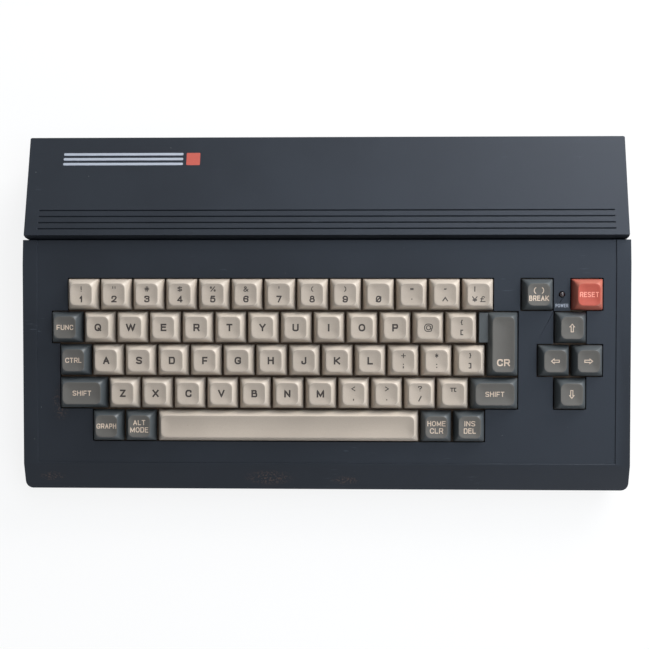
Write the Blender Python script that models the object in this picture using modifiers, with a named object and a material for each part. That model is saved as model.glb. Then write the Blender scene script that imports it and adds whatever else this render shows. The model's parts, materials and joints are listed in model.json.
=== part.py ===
"""Vintage home computer: a wedge-shaped case with a keyboard, built from its separate pieces.

Metres, +Z up. The origin is on the table under the middle of the case, +X runs to the right
of someone who types, +Y to the rear. The keys travel square to the sloping deck.
"""

import math

import bmesh
import bpy
from mathutils import Matrix, Vector

MM = 0.001
CLEARANCE = 0.3 * MM
OVERRUN = 5 * MM
WELD = 0.001 * MM

# Case outside: as wide as the keyboard and its margins, as deep as its surfaces in a row
LEFT_MARGIN = 17 * MM
RIGHT_MARGIN = 15.96 * MM
CASE_HEIGHT = 46 * MM
REAR_EDGE_HEIGHT = 30.5 * MM
HOOD_LENGTH = 61.2 * MM
HOOD_LEAN = 2.2 * MM
GROOVE_WIDTH = 1.8 * MM
GROOVE_FLOOR_WIDTH = 0.6 * MM
GROOVE_DEPTH = 3 * MM
BAND_LENGTH = 14.2 * MM
BAND_SLOPE = math.radians(1.5)
DECK_SLOPE = math.radians(6.5)
FRONT_BEVEL_LENGTH = 14.4 * MM
FRONT_BEVEL_SLOPE = math.radians(25)
FRONT_CORNER_RADIUS = 4 * MM
REAR_CORNER_RADIUS = 1.5 * MM
CORNER_STEPS = 4
NOTCH_DEPTH = 4.6 * MM
CASE_DRAFT = 0.2 * MM
HOOD_GROOVES = 4
HOOD_GROOVE_WIDTH = 1.6 * MM
HOOD_GROOVE_DEPTH = 0.8 * MM
HOOD_GROOVE_PITCH = 3.85 * MM
HOOD_GROOVE_START = 4.1 * MM
HOOD_GROOVE_END_MARGIN = 9.8 * MM
PANEL_RECESS = 0.6 * MM
PANEL_SIDE_MARGIN = 8.6 * MM
PANEL_FRONT_LIP = 1 * MM

# Case walls and the line where the two halves part
SIDE_WALL = 3 * MM
TOP_WALL = 2.5 * MM
PARTING_FRONT_HEIGHT = 10.5 * MM
PARTING_REAR_HEIGHT = 26 * MM
PARTING_FLAT_LENGTH = 106 * MM
PARTING_SLOPE_LENGTH = 60 * MM
TONGUE_HEIGHT = 2.2 * MM
SKIRT_GAP = 1 * MM
FLOOR_WALL = 2.5 * MM
LOWER_CHAMFER = 3 * MM

# Feet
FOOT_HEIGHT = 2.8 * MM
FOOT_SINK = 0.6 * MM
FOOT_WIDTH = 9 * MM
FOOT_LENGTH = 290 * MM
FOOT_EDGE_DISTANCE = 17 * MM
FOOT_BEVEL = 0.8 * MM

# Keys
KEY_PITCH = 19.05 * MM
KEY_GAP = 0.95 * MM
KEY_ROWS = 5
FIRST_ROW_DISTANCE = 17.6 * MM
LAST_ROW_DISTANCE = 22.95 * MM
CAP_HEIGHT = 7.5 * MM
CAP_SKIRT_DEPTH = 1.5 * MM
CAP_TOP_INSET = 2.8 * MM
CAP_BASE_CORNER = 1 * MM
CAP_TOP_CORNER = 2.6 * MM
CAP_DISH_INSET = 1.8 * MM
CAP_DISH_DEPTH = 0.8 * MM
CAP_WALL = 1.3 * MM
CAP_CEILING = 1.8 * MM
STEM_WIDTH = 5 * MM
STEM_CORNER = 0.6 * MM
STEM_REACH = 7 * MM
KEY_TRAVEL = 3.5 * MM
KEY_OPENING_MARGIN = 0.4 * MM
RETURN_SHELF_HEIGHT = 2.6 * MM
RAIL_WIDTH = 2 * MM
RAIL_HEIGHT = 1.1 * MM
SPACE_GUIDE_SPREAD = 57.15 * MM

# Keyboard frame and its circuit board, measured square to the deck
FRAME_DROP = 5.8 * MM
FRAME_THICKNESS = 3.5 * MM
FRAME_RIM_HEIGHT = 1.3 * MM
FRAME_RIM_WIDTH = 2.5 * MM
FRAME_SIDE_MARGIN = 6 * MM
FRAME_END_MARGIN = 9 * MM
STEM_CLEARANCE = 0.3 * MM
BOARD_THICKNESS = 1.6 * MM
POST_RADIUS = 2.5 * MM
POST_SINK = 0.5 * MM

# Power lamp
LAMP_RADIUS = 1.5 * MM
LAMP_PROUD = 0.7 * MM
LAMP_DOME = 0.6 * MM
LAMP_COLLAR_RADIUS = 2.2 * MM

# Screw bosses and standoffs
BOSS_RADIUS = 4.6 * MM
SCREW_HEAD_RADIUS = 3.3 * MM
SCREW_HEAD_DEPTH = 7 * MM
SCREW_HOLE_RADIUS = 1.7 * MM
SCREW_PILOT_DEPTH = 4.5 * MM
BOSS_MEET_HEIGHT = 16 * MM
FRONT_BOSS_SHARES = (-0.88, 0.0, 0.88)
FRONT_BOSS_DISTANCE = 12 * MM
REAR_BOSS_DISTANCE = 43 * MM
REAR_BOSS_SHARES = (-0.92, -0.07, 0.61)
STANDOFF_RADIUS = 3 * MM
STANDOFF_HEIGHT = 4 * MM

# Main circuit board
MAIN_BOARD_DEPTH = 92 * MM
MAIN_BOARD_EDGE_GAP = 3.5 * MM
MAIN_BOARD_REAR_GAP = 1.5 * MM
LARGE_CHIP = (52 * MM, 14 * MM, 4 * MM)
MIDDLE_CHIP = (36 * MM, 14 * MM, 4 * MM)
SMALL_CHIP = (20 * MM, 7 * MM, 4 * MM)
CRYSTAL = (11 * MM, 4.5 * MM, 3.5 * MM)
HEAT_SINK = (30 * MM, 12 * MM, 11 * MM)
CHIP_SINK = 0.3 * MM
STANDOFF_SHARES = ((0.88, 0.84), (0.88, -0.84), (0.0, 0.84), (0.0, -0.84), (-0.88, 0.84), (-0.88, -0.84))
SWITCH_BODY_LENGTH = 15 * MM
SWITCH_BODY_DEPTH = 9 * MM
SWITCH_BODY_HEIGHT = 9 * MM

# Cartridge slot, door and connector
SLOT_LENGTH = 86 * MM
SLOT_HEIGHT = 15.5 * MM
SLOT_REAR_DISTANCE = 4 * MM
SLOT_FLOOR_RISE = 3.5 * MM
CHAMBER_DEPTH = 44 * MM
GUIDE_WALL = 2.5 * MM
DOOR_GAP = 0.4 * MM
DOOR_THICKNESS = 1.6 * MM
DOOR_SINK = 0.5 * MM
DOOR_AXIS_DROP = 1 * MM
DOOR_PIN_RADIUS = 0.6 * MM
DOOR_PIN_LENGTH = 1.4 * MM
DOOR_POCKET_RADIUS = 0.9 * MM
CONNECTOR_LENGTH = 72 * MM
CONNECTOR_DEPTH = 9 * MM
CONNECTOR_HEIGHT = 10.5 * MM
CONNECTOR_MOUTH_LENGTH = 66 * MM
CONNECTOR_MOUTH_HEIGHT = 2.2 * MM
CONNECTOR_MOUTH_DEPTH = 6.5 * MM
CONNECTOR_HEADROOM = 5.7 * MM

# Rear sockets, each on the main circuit board
SOCKET_HEIGHT = 7.4 * MM
SOCKET_CLEARANCE = 0.4 * MM
POWER_SWITCH_SHARE = -0.886
POWER_JACK_SHARE = -0.756
MODULATOR_SHARE = -0.473
CHANNEL_SWITCH_OFFSET = -18 * MM
PHONO_OFFSET = 16 * MM
VIDEO_SHARE = -0.165
PRINTER_SHARE = -0.012
CASSETTE_SHARE = 0.177
CASSETTE_SPREAD = 13 * MM
JOYSTICK_SHARE = 0.484
JOYSTICK_SPREAD = 32 * MM
DIN_RADIUS = 7.2 * MM
DIN_BODY = 17 * MM
DIN_BODY_DEPTH = 12 * MM
DIN_GROOVE_OUTER = 6.6 * MM
DIN_GROOVE_INNER = 5.6 * MM
DIN_GROOVE_DEPTH = 5 * MM
JACK_RADIUS = 3.6 * MM
JACK_HOLE_RADIUS = 1.8 * MM
JACK_BODY = 10 * MM
JACK_DEPTH = 12 * MM
POWER_JACK_RADIUS = 4.6 * MM
POWER_HOLE_RADIUS = 2.75 * MM
POWER_PIN_RADIUS = 1 * MM
MODULATOR_LENGTH = 56 * MM
MODULATOR_DEPTH = 22 * MM
MODULATOR_HEIGHT = 15 * MM
PHONO_RADIUS = 4.2 * MM
PHONO_HOLE_RADIUS = 1.6 * MM
PORT_LENGTH = 24.5 * MM
PORT_HEIGHT = 11 * MM
PORT_WELL_LENGTH = 18.4 * MM
PORT_WELL_HEIGHT = 8.4 * MM
PORT_WELL_DEPTH = 6 * MM
PORT_WELL_TAPER = 1.3 * MM
PORT_BODY_DEPTH = 10 * MM
PORT_BLOCK_HEIGHT = 13 * MM

# Switch levers
LEVER_WIDTH = 4 * MM
LEVER_HEIGHT = 3.4 * MM
LEVER_PROUD = 3 * MM
LEVER_TRAVEL = 3.5 * MM
LEVER_SOLE_WIDTH = 6 * MM
LEVER_SOLE_HEIGHT = 5 * MM
LEVER_SOLE_DEPTH = 2 * MM
CHANNEL_LEVER_WIDTH = 2.4 * MM
CHANNEL_LEVER_HEIGHT = 2.4 * MM
CHANNEL_LEVER_PROUD = 1 * MM
CHANNEL_LEVER_TRAVEL = 2.5 * MM

ROUND_STEPS = 20
SMALL_ROUND_STEPS = 12

# The two ends of each row of the main key block, and the right end of the cursor keys, in
# key pitches from the first key of the number row
BLOCK_ROW_SHARES = [(-0.5, 12.5), (-1.0, 13.25), (-0.75, 13.25), (-0.75, 13.25), (0.25, 12.25)]
KEYBOARD_LEFT_SHARE = -1.0
KEYBOARD_RIGHT_SHARE = 15.8

# Places that follow from the sizes above
CASE_WIDTH = LEFT_MARGIN + (KEYBOARD_RIGHT_SHARE - KEYBOARD_LEFT_SHARE) * KEY_PITCH + RIGHT_MARGIN
FIRST_KEY_X = -CASE_WIDTH / 2 + LEFT_MARGIN - KEYBOARD_LEFT_SHARE * KEY_PITCH
DECK_LENGTH = FIRST_ROW_DISTANCE + (KEY_ROWS - 1) * KEY_PITCH + LAST_ROW_DISTANCE
DECK_DEPTH = DECK_LENGTH * math.cos(DECK_SLOPE)
CASE_DEPTH = HOOD_LENGTH + GROOVE_WIDTH + BAND_LENGTH + DECK_DEPTH + FRONT_BEVEL_LENGTH
LOWER_BOTTOM = FOOT_HEIGHT - FOOT_SINK
FLOOR_TOP = LOWER_BOTTOM + FLOOR_WALL
FRAME_BOTTOM = FRAME_DROP + FRAME_THICKNESS + FRAME_RIM_HEIGHT
KEY_BOARD_TOP = FRAME_BOTTOM + CLEARANCE
MAIN_BOARD_Z = FLOOR_TOP + STANDOFF_HEIGHT + CLEARANCE
MAIN_BOARD_TOP = MAIN_BOARD_Z + BOARD_THICKNESS
SOCKET_BASE = MAIN_BOARD_TOP + CLEARANCE
CONNECTOR_TOP = SOCKET_BASE + CONNECTOR_HEIGHT
KEYBOARD_STACK = PANEL_RECESS + KEY_BOARD_TOP + BOARD_THICKNESS
DECK_REAR_HEIGHT = CONNECTOR_TOP + CONNECTOR_HEADROOM + KEYBOARD_STACK
REAR_Y = CASE_DEPTH / 2
FRONT_Y = -CASE_DEPTH / 2
RIDGE_Y = REAR_Y - HOOD_LENGTH
DECK_REAR_Y = RIDGE_Y - GROOVE_WIDTH
CREASE_Y = DECK_REAR_Y - BAND_LENGTH
CREASE_Z = DECK_REAR_HEIGHT - BAND_LENGTH * math.tan(BAND_SLOPE)
BORDER_Y = FRONT_Y + FRONT_BEVEL_LENGTH
BORDER_Z = CREASE_Z - (CREASE_Y - BORDER_Y) * math.tan(DECK_SLOPE)
FRONT_EDGE_HEIGHT = BORDER_Z - FRONT_BEVEL_LENGTH * math.tan(FRONT_BEVEL_SLOPE)
LOWER_SIDE_INSET = SIDE_WALL + CASE_DRAFT + SKIRT_GAP
LOWER_END_INSET = SIDE_WALL + CLEARANCE
LOWER_SIDE_X = CASE_WIDTH / 2 - LOWER_SIDE_INSET
LOWER_END_Y = REAR_Y - LOWER_END_INSET
INNER_SIDE_X = LOWER_SIDE_X - SIDE_WALL
INNER_END_Y = LOWER_END_Y - SIDE_WALL
MAIN_BOARD_REAR = INNER_END_Y - MAIN_BOARD_REAR_GAP
MAIN_BOARD_LEFT = -INNER_SIDE_X + MAIN_BOARD_EDGE_GAP
MAIN_BOARD_MIDDLE_Y = MAIN_BOARD_REAR - MAIN_BOARD_DEPTH / 2
CHAMBER_X = INNER_SIDE_X - CHAMBER_DEPTH
MAIN_BOARD_LENGTH = CHAMBER_X - CLEARANCE * 4 - MAIN_BOARD_LEFT
MAIN_BOARD_MIDDLE_X = MAIN_BOARD_LEFT + MAIN_BOARD_LENGTH / 2
SOCKET_Z = SOCKET_BASE + SOCKET_HEIGHT
POWER_SWITCH_X = POWER_SWITCH_SHARE * INNER_SIDE_X
POWER_JACK_X = POWER_JACK_SHARE * INNER_SIDE_X
MODULATOR_X = MODULATOR_SHARE * INNER_SIDE_X
CHANNEL_SWITCH_X = MODULATOR_X + CHANNEL_SWITCH_OFFSET
PHONO_X = MODULATOR_X + PHONO_OFFSET
VIDEO_X = VIDEO_SHARE * INNER_SIDE_X
PRINTER_X = PRINTER_SHARE * INNER_SIDE_X
CASSETTE_X = CASSETTE_SHARE * INNER_SIDE_X
JOYSTICK_X = JOYSTICK_SHARE * INNER_SIDE_X
SLOT_REAR_Y = INNER_END_Y - SLOT_REAR_DISTANCE
SLOT_MIDDLE_Y = SLOT_REAR_Y - SLOT_LENGTH / 2
SLOT_BOTTOM = FLOOR_TOP + SLOT_FLOOR_RISE
SLOT_TOP = SLOT_BOTTOM + SLOT_HEIGHT
DOOR_X = LOWER_SIDE_X - DOOR_SINK - DOOR_THICKNESS / 2
DOOR_TOP = SLOT_TOP - DOOR_GAP
DOOR_AXIS_Z = DOOR_TOP - DOOR_AXIS_DROP
REAR_BOSS_Y = REAR_Y - REAR_BOSS_DISTANCE
FRONT_BOSS_Y = FRONT_Y + FRONT_BOSS_DISTANCE

# The letter and symbol keys of the two middle rows, from left to right
TOP_LETTER_NAMES = ["q", "w", "e", "r", "t", "y", "u", "i", "o", "p", "at", "brace_left"]
HOME_LETTER_NAMES = ["a", "s", "d", "f", "g", "h", "j", "k", "l", "plus", "colon", "brace_right"]
NUMBER_ROW_KEYS = 13
LOWER_ROW_KEYS = 11

# Centres of keys in key pitches from the first key of the number row, and their row, from 0
SINGLE_KEY_SHARES = {
    "key_function": (-0.5, 1, 1.0),
    "key_control": (-0.25, 2, 1.0),
    "key_shift_left": (0.0, 3, 1.5),
    "key_shift_right": (12.5, 3, 1.5),
    "key_graphics": (0.75, 4, 1.0),
    "key_alternate": (1.75, 4, 1.0),
    "key_home": (10.75, 4, 1.0),
    "key_insert": (11.75, 4, 1.0),
    "key_break": (13.8, 0, 1.0),
    "key_reset": (15.3, 0, 1.0),
    "key_up": (14.8, 1, 1.0),
    "key_left": (14.3, 2, 1.0),
    "key_right": (15.3, 2, 1.0),
    "key_down": (14.8, 3, 1.0),
}
SPACE_KEY_SHARES = (6.25, 4, 8.0)
RETURN_KEY_SHARES = (12.75, 1.5, 1.0)
RETURN_DEPTH_SHARE = 2.0
RETURN_SHELF_SHARE = 0.25
TOP_LETTER_START_SHARE = 0.5
HOME_LETTER_START_SHARE = 0.75
LOWER_ROW_START_SHARE = 1.25
LAMP_SHARES = (14.55, 0)

POST_COLUMN_SHARES = [0.0, 7.0, 14.75]

# Chips and other parts of the main board, each with its place as shares of the half board
COMPONENT_SHARES = [
    (LARGE_CHIP, -0.58, -0.09),
    (LARGE_CHIP, -0.58, -0.61),
    (MIDDLE_CHIP, -0.25, -0.61),
    (LARGE_CHIP, 0.07, -0.61),
    (SMALL_CHIP, -0.26, -0.17),
    (SMALL_CHIP, 0.28, -0.13),
    (SMALL_CHIP, 0.39, -0.78),
    (SMALL_CHIP, 0.39, -0.52),
    (SMALL_CHIP, 0.58, -0.78),
    (SMALL_CHIP, 0.58, -0.52),
    (CRYSTAL, 0.46, -0.13),
    (HEAT_SINK, -0.77, 0.3),
]

PART_NAMES = "vintage_home_computer"
PIECES = None
CUTTERS = None
KEY_PLANE = None


def clear_scene():
    for obj in list(bpy.data.objects):
        bpy.data.objects.remove(obj, do_unlink=True)


def make_collection(name):
    collection = bpy.data.collections.new(name)
    bpy.context.scene.collection.children.link(collection)
    return collection


def material(name, colour, roughness, metallic=0.0):
    found = bpy.data.materials.get(name)
    if found:
        return found
    made = bpy.data.materials.new(name)
    made.use_nodes = True
    shader = made.node_tree.nodes["Principled BSDF"]
    shader.inputs["Base Color"].default_value = (*colour, 1.0)
    shader.inputs["Roughness"].default_value = roughness
    shader.inputs["Metallic"].default_value = metallic
    return made


def dark_case():
    return material("dark_case_plastic", (0.035, 0.041, 0.055), 0.5)


def cream_key():
    return material("cream_key_plastic", (0.56, 0.50, 0.43), 0.5)


def dark_key():
    return material("dark_key_plastic", (0.075, 0.078, 0.075), 0.5)


def red_key():
    return material("red_key_plastic", (0.62, 0.10, 0.06), 0.45)


def frame_plastic():
    return material("frame_plastic", (0.03, 0.03, 0.03), 0.6)


def board_green():
    return material("circuit_board", (0.03, 0.16, 0.06), 0.45)


def tin_plate():
    return material("tin_plate", (0.62, 0.62, 0.6), 0.35, 1.0)


def socket_black():
    return material("socket_plastic", (0.02, 0.02, 0.02), 0.4)


def foot_rubber():
    return material("foot_rubber", (0.03, 0.03, 0.03), 0.85)


def lamp_red():
    return material("lamp_lens", (0.5, 0.03, 0.02), 0.2)


def place_piece(name, mesh, finish, parent=None):
    """Adds a finished piece, which keeps its own mesh or shares one with like pieces."""
    obj = bpy.data.objects.new(name, mesh)
    PIECES.objects.link(obj)
    if not mesh.materials:
        mesh.materials.append(finish)
    obj.parent = parent
    return obj


def place_cutter(name, mesh, parent=None):
    obj = bpy.data.objects.new(name, mesh)
    CUTTERS.objects.link(obj)
    obj.hide_render = True
    obj.display_type = "WIRE"
    obj.parent = parent
    return obj


def combine(target, tool, operation):
    modifier = target.modifiers.new(tool.name, "BOOLEAN")
    modifier.operation = operation
    modifier.solver = "EXACT"
    modifier.object = tool


def cut(target, tool):
    combine(target, tool, "DIFFERENCE")


def join(target, tool):
    combine(target, tool, "UNION")


def keep_common(target, tool):
    combine(target, tool, "INTERSECT")


def mesh_from(bm, name):
    bmesh.ops.recalc_face_normals(bm, faces=bm.faces)
    mesh = bpy.data.meshes.new(name)
    bm.to_mesh(mesh)
    bm.free()
    return mesh


def add_box(bm, size, centre):
    """A box of the given size round its centre."""
    matrix = Matrix.Translation(Vector(centre)) @ Matrix.Diagonal((*size, 1.0))
    bmesh.ops.create_cube(bm, size=1.0, matrix=matrix)


def add_rod(bm, radius, length, centre, direction="Z", steps=ROUND_STEPS):
    """A round rod round its centre, along X, Y or Z."""
    turn = {
        "X": Matrix.Rotation(math.pi / 2, 4, "Y"),
        "Y": Matrix.Rotation(math.pi / 2, 4, "X"),
        "Z": Matrix.Identity(4),
    }[direction]
    bmesh.ops.create_cone(
        bm,
        cap_ends=True,
        segments=steps,
        radius1=radius,
        radius2=radius,
        depth=length,
        matrix=Matrix.Translation(Vector(centre)) @ turn,
    )


def boxes(name, sizes_and_centres):
    bm = bmesh.new()
    for size, centre in sizes_and_centres:
        add_box(bm, size, centre)
    return mesh_from(bm, name)


def rods(name, rows):
    bm = bmesh.new()
    for row in rows:
        add_rod(bm, *row)
    return mesh_from(bm, name)


def outline_mesh(name, points, thickness, matrix=None):
    """A flat outline with thickness, centred on its own plane, then turned by the matrix."""
    curve = bpy.data.curves.new(name, "CURVE")
    curve.dimensions = "2D"
    curve.fill_mode = "BOTH"
    curve.extrude = thickness / 2
    spline = curve.splines.new("POLY")
    spline.points.add(len(points) - 1)
    for place, (x, y) in zip(spline.points, points):
        place.co = (x, y, 0.0, 1.0)
    spline.use_cyclic_u = True
    drawn = bpy.data.objects.new(name + "_outline", curve)
    bpy.context.scene.collection.objects.link(drawn)
    evaluated = drawn.evaluated_get(bpy.context.evaluated_depsgraph_get())
    mesh = bpy.data.meshes.new_from_object(evaluated)
    bpy.data.objects.remove(drawn, do_unlink=True)
    bpy.data.curves.remove(curve)
    bm = bmesh.new()
    bm.from_mesh(mesh)
    bmesh.ops.remove_doubles(bm, verts=bm.verts, dist=WELD)
    if matrix is not None:
        bmesh.ops.transform(bm, matrix=matrix, verts=bm.verts)
    bmesh.ops.recalc_face_normals(bm, faces=bm.faces)
    bm.to_mesh(mesh)
    bm.free()
    mesh.name = name
    return mesh


def side_profile_matrix():
    """Turns an outline drawn in depth and height so that its thickness runs across the case."""
    return Matrix(((0, 0, 1, 0), (1, 0, 0, 0), (0, 1, 0, 0), (0, 0, 0, 1)))


def inset_outline(points, distances):
    """Moves each side of a closed outline inwards by its distance and meets the sides again."""
    count = len(points)
    area = sum(
        points[i][0] * points[(i + 1) % count][1] - points[(i + 1) % count][0] * points[i][1]
        for i in range(count)
    )
    turn = 1.0 if area > 0 else -1.0
    sides = []
    for i in range(count):
        start = Vector(points[i])
        along = (Vector(points[(i + 1) % count]) - start).normalized()
        inward = Vector((-along.y, along.x)) * turn
        sides.append((start + inward * distances[i], along))
    moved = []
    for i in range(count):
        (p, d), (q, e) = sides[i - 1], sides[i]
        across = d.x * e.y - d.y * e.x
        step = ((q.x - p.x) * e.y - (q.y - p.y) * e.x) / across
        moved.append(tuple(p + d * step))
    return moved


def rounded(points, radii):
    """Rounds each corner of a closed outline that has a radius above zero."""
    made = []
    for i, (point, radius) in enumerate(zip(points, radii)):
        corner = Vector(point)
        if radius <= 0:
            made.append(point)
            continue
        back = (Vector(points[i - 1]) - corner).normalized()
        ahead = (Vector(points[(i + 1) % len(points)]) - corner).normalized()
        half = back.angle(ahead) / 2
        centre = corner + (back + ahead).normalized() * radius / math.sin(half)
        first = corner + back * radius / math.tan(half) - centre
        last = corner + ahead * radius / math.tan(half) - centre
        sweep = first.angle_signed(last)
        for step in range(CORNER_STEPS + 1):
            angle = -sweep * step / CORNER_STEPS
            turned = Matrix.Rotation(angle, 2) @ first
            made.append(tuple(centre + turned))
    return made


def plan_outline(inset):
    """The case from above: rounded corners and a V notch in each side at the wide groove."""
    half_width, half_depth = CASE_WIDTH / 2 - inset, CASE_DEPTH / 2 - inset
    notch_x = half_width - NOTCH_DEPTH
    right = [
        (half_width, -half_depth),
        (half_width, DECK_REAR_Y - inset),
        (notch_x, DECK_REAR_Y - inset),
        (half_width, RIDGE_Y + inset),
        (half_width, half_depth),
    ]
    if inset:
        right.insert(3, (notch_x, DECK_REAR_Y + inset / 2))
    corners = right + [(-x, y) for x, y in reversed(right)]
    ends = {-half_depth: FRONT_CORNER_RADIUS - inset, half_depth: REAR_CORNER_RADIUS - inset}
    return rounded(corners, [ends.get(y, 0.0) for x, y in corners])


def top_line():
    """The case's upper surface from the front edge to the rear edge, as depth and height."""
    return [
        (FRONT_Y, FRONT_EDGE_HEIGHT),
        (BORDER_Y, BORDER_Z),
        (CREASE_Y, CREASE_Z),
        (DECK_REAR_Y, DECK_REAR_HEIGHT),
        (DECK_REAR_Y, DECK_REAR_HEIGHT - GROOVE_DEPTH),
        (DECK_REAR_Y + GROOVE_FLOOR_WIDTH, DECK_REAR_HEIGHT - GROOVE_DEPTH),
        (RIDGE_Y, CASE_HEIGHT),
        (REAR_Y, REAR_EDGE_HEIGHT),
    ]


def parting_line(rise):
    """The lower edge of the upper case from the rear to the front, moved up by a rise."""
    flat_end = REAR_Y - PARTING_FLAT_LENGTH
    return [
        (REAR_Y + OVERRUN, PARTING_REAR_HEIGHT + rise),
        (flat_end, PARTING_REAR_HEIGHT + rise),
        (flat_end - PARTING_SLOPE_LENGTH, PARTING_FRONT_HEIGHT + rise),
        (FRONT_Y - OVERRUN, PARTING_FRONT_HEIGHT + rise),
    ]


def drafted_plan(name, points, bottom, top):
    """A plan outline raised from bottom to top, drawn in at its sides towards the top."""
    middle = (bottom + top) / 2
    mesh = outline_mesh(name, points, top - bottom, Matrix.Translation((0, 0, middle)))
    reach = max(x for x, y in points)
    for vertex in mesh.vertices:
        share = (vertex.co.z - PARTING_FRONT_HEIGHT) / (CASE_HEIGHT - PARTING_FRONT_HEIGHT)
        vertex.co.x *= 1.0 - CASE_DRAFT * share / reach
    return mesh


def deck_point(pitches, row, height=0.0):
    """A place on the key plane: pitches from the first key, row from 0, height off the panel."""
    return Vector(
        (
            FIRST_KEY_X + pitches * KEY_PITCH,
            -FIRST_ROW_DISTANCE - row * KEY_PITCH,
            height,
        )
    )


def make_key_plane():
    """An empty on the sunken panel where it meets the flat band, tilted with the deck."""
    plane = bpy.data.objects.new("key_plane", None)
    CUTTERS.objects.link(plane)
    drop = PANEL_RECESS
    plane.location = (
        0,
        CREASE_Y + drop * math.sin(DECK_SLOPE),
        CREASE_Z - drop * math.cos(DECK_SLOPE),
    )
    plane.rotation_euler = (DECK_SLOPE, 0, 0)
    return plane


def block_opening_points():
    """The stepped outline round the main block of keys, just wider than the caps."""
    shrink = KEY_GAP / 2 - KEY_OPENING_MARGIN
    right, left = [], []
    for row, (start, end) in enumerate(BLOCK_ROW_SHARES):
        top = deck_point(0, row - 0.5).y
        bottom = deck_point(0, row + 0.5).y
        right += [(deck_point(end, 0).x, top), (deck_point(end, 0).x, bottom)]
        left += [(deck_point(start, 0).x, top), (deck_point(start, 0).x, bottom)]
    return shrunk_steps(right + left[::-1], shrink)


def shrunk_steps(points, shrink):
    """Drops repeated and straight-through points, then draws the stepped outline in."""
    kept = []
    for i, point in enumerate(points):
        before, after = points[i - 1], points[(i + 1) % len(points)]
        same = abs(point[0] - before[0]) < WELD and abs(point[1] - before[1]) < WELD
        if same:
            continue
        kept.append(point)
    corners = []
    for i, point in enumerate(kept):
        before, after = kept[i - 1], kept[(i + 1) % len(kept)]
        straight_x = abs(before[0] - point[0]) < WELD and abs(point[0] - after[0]) < WELD
        straight_y = abs(before[1] - point[1]) < WELD and abs(point[1] - after[1]) < WELD
        if not (straight_x or straight_y):
            corners.append(point)
    return inset_outline(corners, [shrink] * len(corners))


def cell(pitches, row):
    return (
        deck_point(pitches - 0.5, 0).x,
        deck_point(0, row + 0.5).y,
        deck_point(pitches + 0.5, 0).x,
        deck_point(0, row - 0.5).y,
    )


def cursor_opening_points():
    """The outline round the four cursor keys and the reset key above them."""
    up = cell(*SINGLE_KEY_SHARES["key_up"][:2])
    left = cell(*SINGLE_KEY_SHARES["key_left"][:2])
    right = cell(*SINGLE_KEY_SHARES["key_right"][:2])
    down = cell(*SINGLE_KEY_SHARES["key_down"][:2])
    reset = cell(*SINGLE_KEY_SHARES["key_reset"][:2])
    points = [
        (reset[0], reset[3]),
        (reset[2], reset[3]),
        (reset[2], reset[1]),
        (up[2], up[3]),
        (up[2], right[3]),
        (right[2], right[3]),
        (right[2], right[1]),
        (down[2], right[1]),
        (down[2], down[1]),
        (down[0], down[1]),
        (down[0], left[1]),
        (left[0], left[1]),
        (left[0], left[3]),
        (up[0], left[3]),
        (up[0], up[3]),
        (reset[0], up[3]),
    ]
    return shrunk_steps(points, KEY_GAP / 2 - KEY_OPENING_MARGIN)


def break_opening_points():
    low_x, low_y, high_x, high_y = cell(*SINGLE_KEY_SHARES["key_break"][:2])
    shrink = KEY_GAP / 2 - KEY_OPENING_MARGIN
    points = [(low_x, low_y), (high_x, low_y), (high_x, high_y), (low_x, high_y)]
    return inset_outline(points, [shrink] * len(points))


def octagon(width, depth, corner, height, middle=(0.0, 0.0)):
    """A ring of eight points: a rectangle with cut corners."""
    x, y = width / 2, depth / 2
    ring = [
        (x - corner, -y), (x, -y + corner), (x, y - corner), (x - corner, y),
        (-x + corner, y), (-x, y - corner), (-x, -y + corner), (-x + corner, -y),
    ]
    return [(middle[0] + px, middle[1] + py, height) for px, py in ring]


def add_loft(bm, rings):
    """Skins a row of rings and closes the first and the last."""
    placed = [[bm.verts.new(point) for point in ring] for ring in rings]
    for lower, upper in zip(placed, placed[1:]):
        for i in range(len(lower)):
            j = (i + 1) % len(lower)
            bm.faces.new((lower[i], lower[j], upper[j], upper[i]))
    bm.faces.new(placed[0][::-1])
    bm.faces.new(placed[-1])


def add_cap(bm, width, depth, middle=(0.0, 0.0)):
    """One hollow key cap with a dished top and a square stem, from stem foot to dish."""
    ceiling = CAP_HEIGHT - CAP_DISH_DEPTH - CAP_CEILING
    inner_width, inner_depth = width - CAP_WALL * 2, depth - CAP_WALL * 2
    top_width, top_depth = width - CAP_TOP_INSET * 2, depth - CAP_TOP_INSET * 2
    ceiling_width = inner_width - CAP_TOP_INSET
    ceiling_depth = inner_depth - CAP_TOP_INSET
    dish_width, dish_depth = top_width - CAP_DISH_INSET * 2, top_depth - CAP_DISH_INSET * 2
    dish_corner = max(CAP_TOP_CORNER - CAP_DISH_INSET / 2, CAP_BASE_CORNER)
    add_loft(bm, [
        octagon(STEM_WIDTH, STEM_WIDTH, STEM_CORNER, -STEM_REACH, middle),
        octagon(STEM_WIDTH, STEM_WIDTH, STEM_CORNER, ceiling, middle),
        octagon(ceiling_width, ceiling_depth, CAP_BASE_CORNER, ceiling, middle),
        octagon(inner_width, inner_depth, CAP_BASE_CORNER, -CAP_SKIRT_DEPTH, middle),
        octagon(width, depth, CAP_BASE_CORNER, -CAP_SKIRT_DEPTH, middle),
        octagon(top_width, top_depth, CAP_TOP_CORNER, CAP_HEIGHT, middle),
        octagon(dish_width, dish_depth, dish_corner, CAP_HEIGHT - CAP_DISH_DEPTH, middle),
    ])


def cap_mesh(name, width, depth):
    bm = bmesh.new()
    add_cap(bm, width, depth)
    return mesh_from(bm, name)


def key_size(pitches):
    return pitches * KEY_PITCH - KEY_GAP


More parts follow.
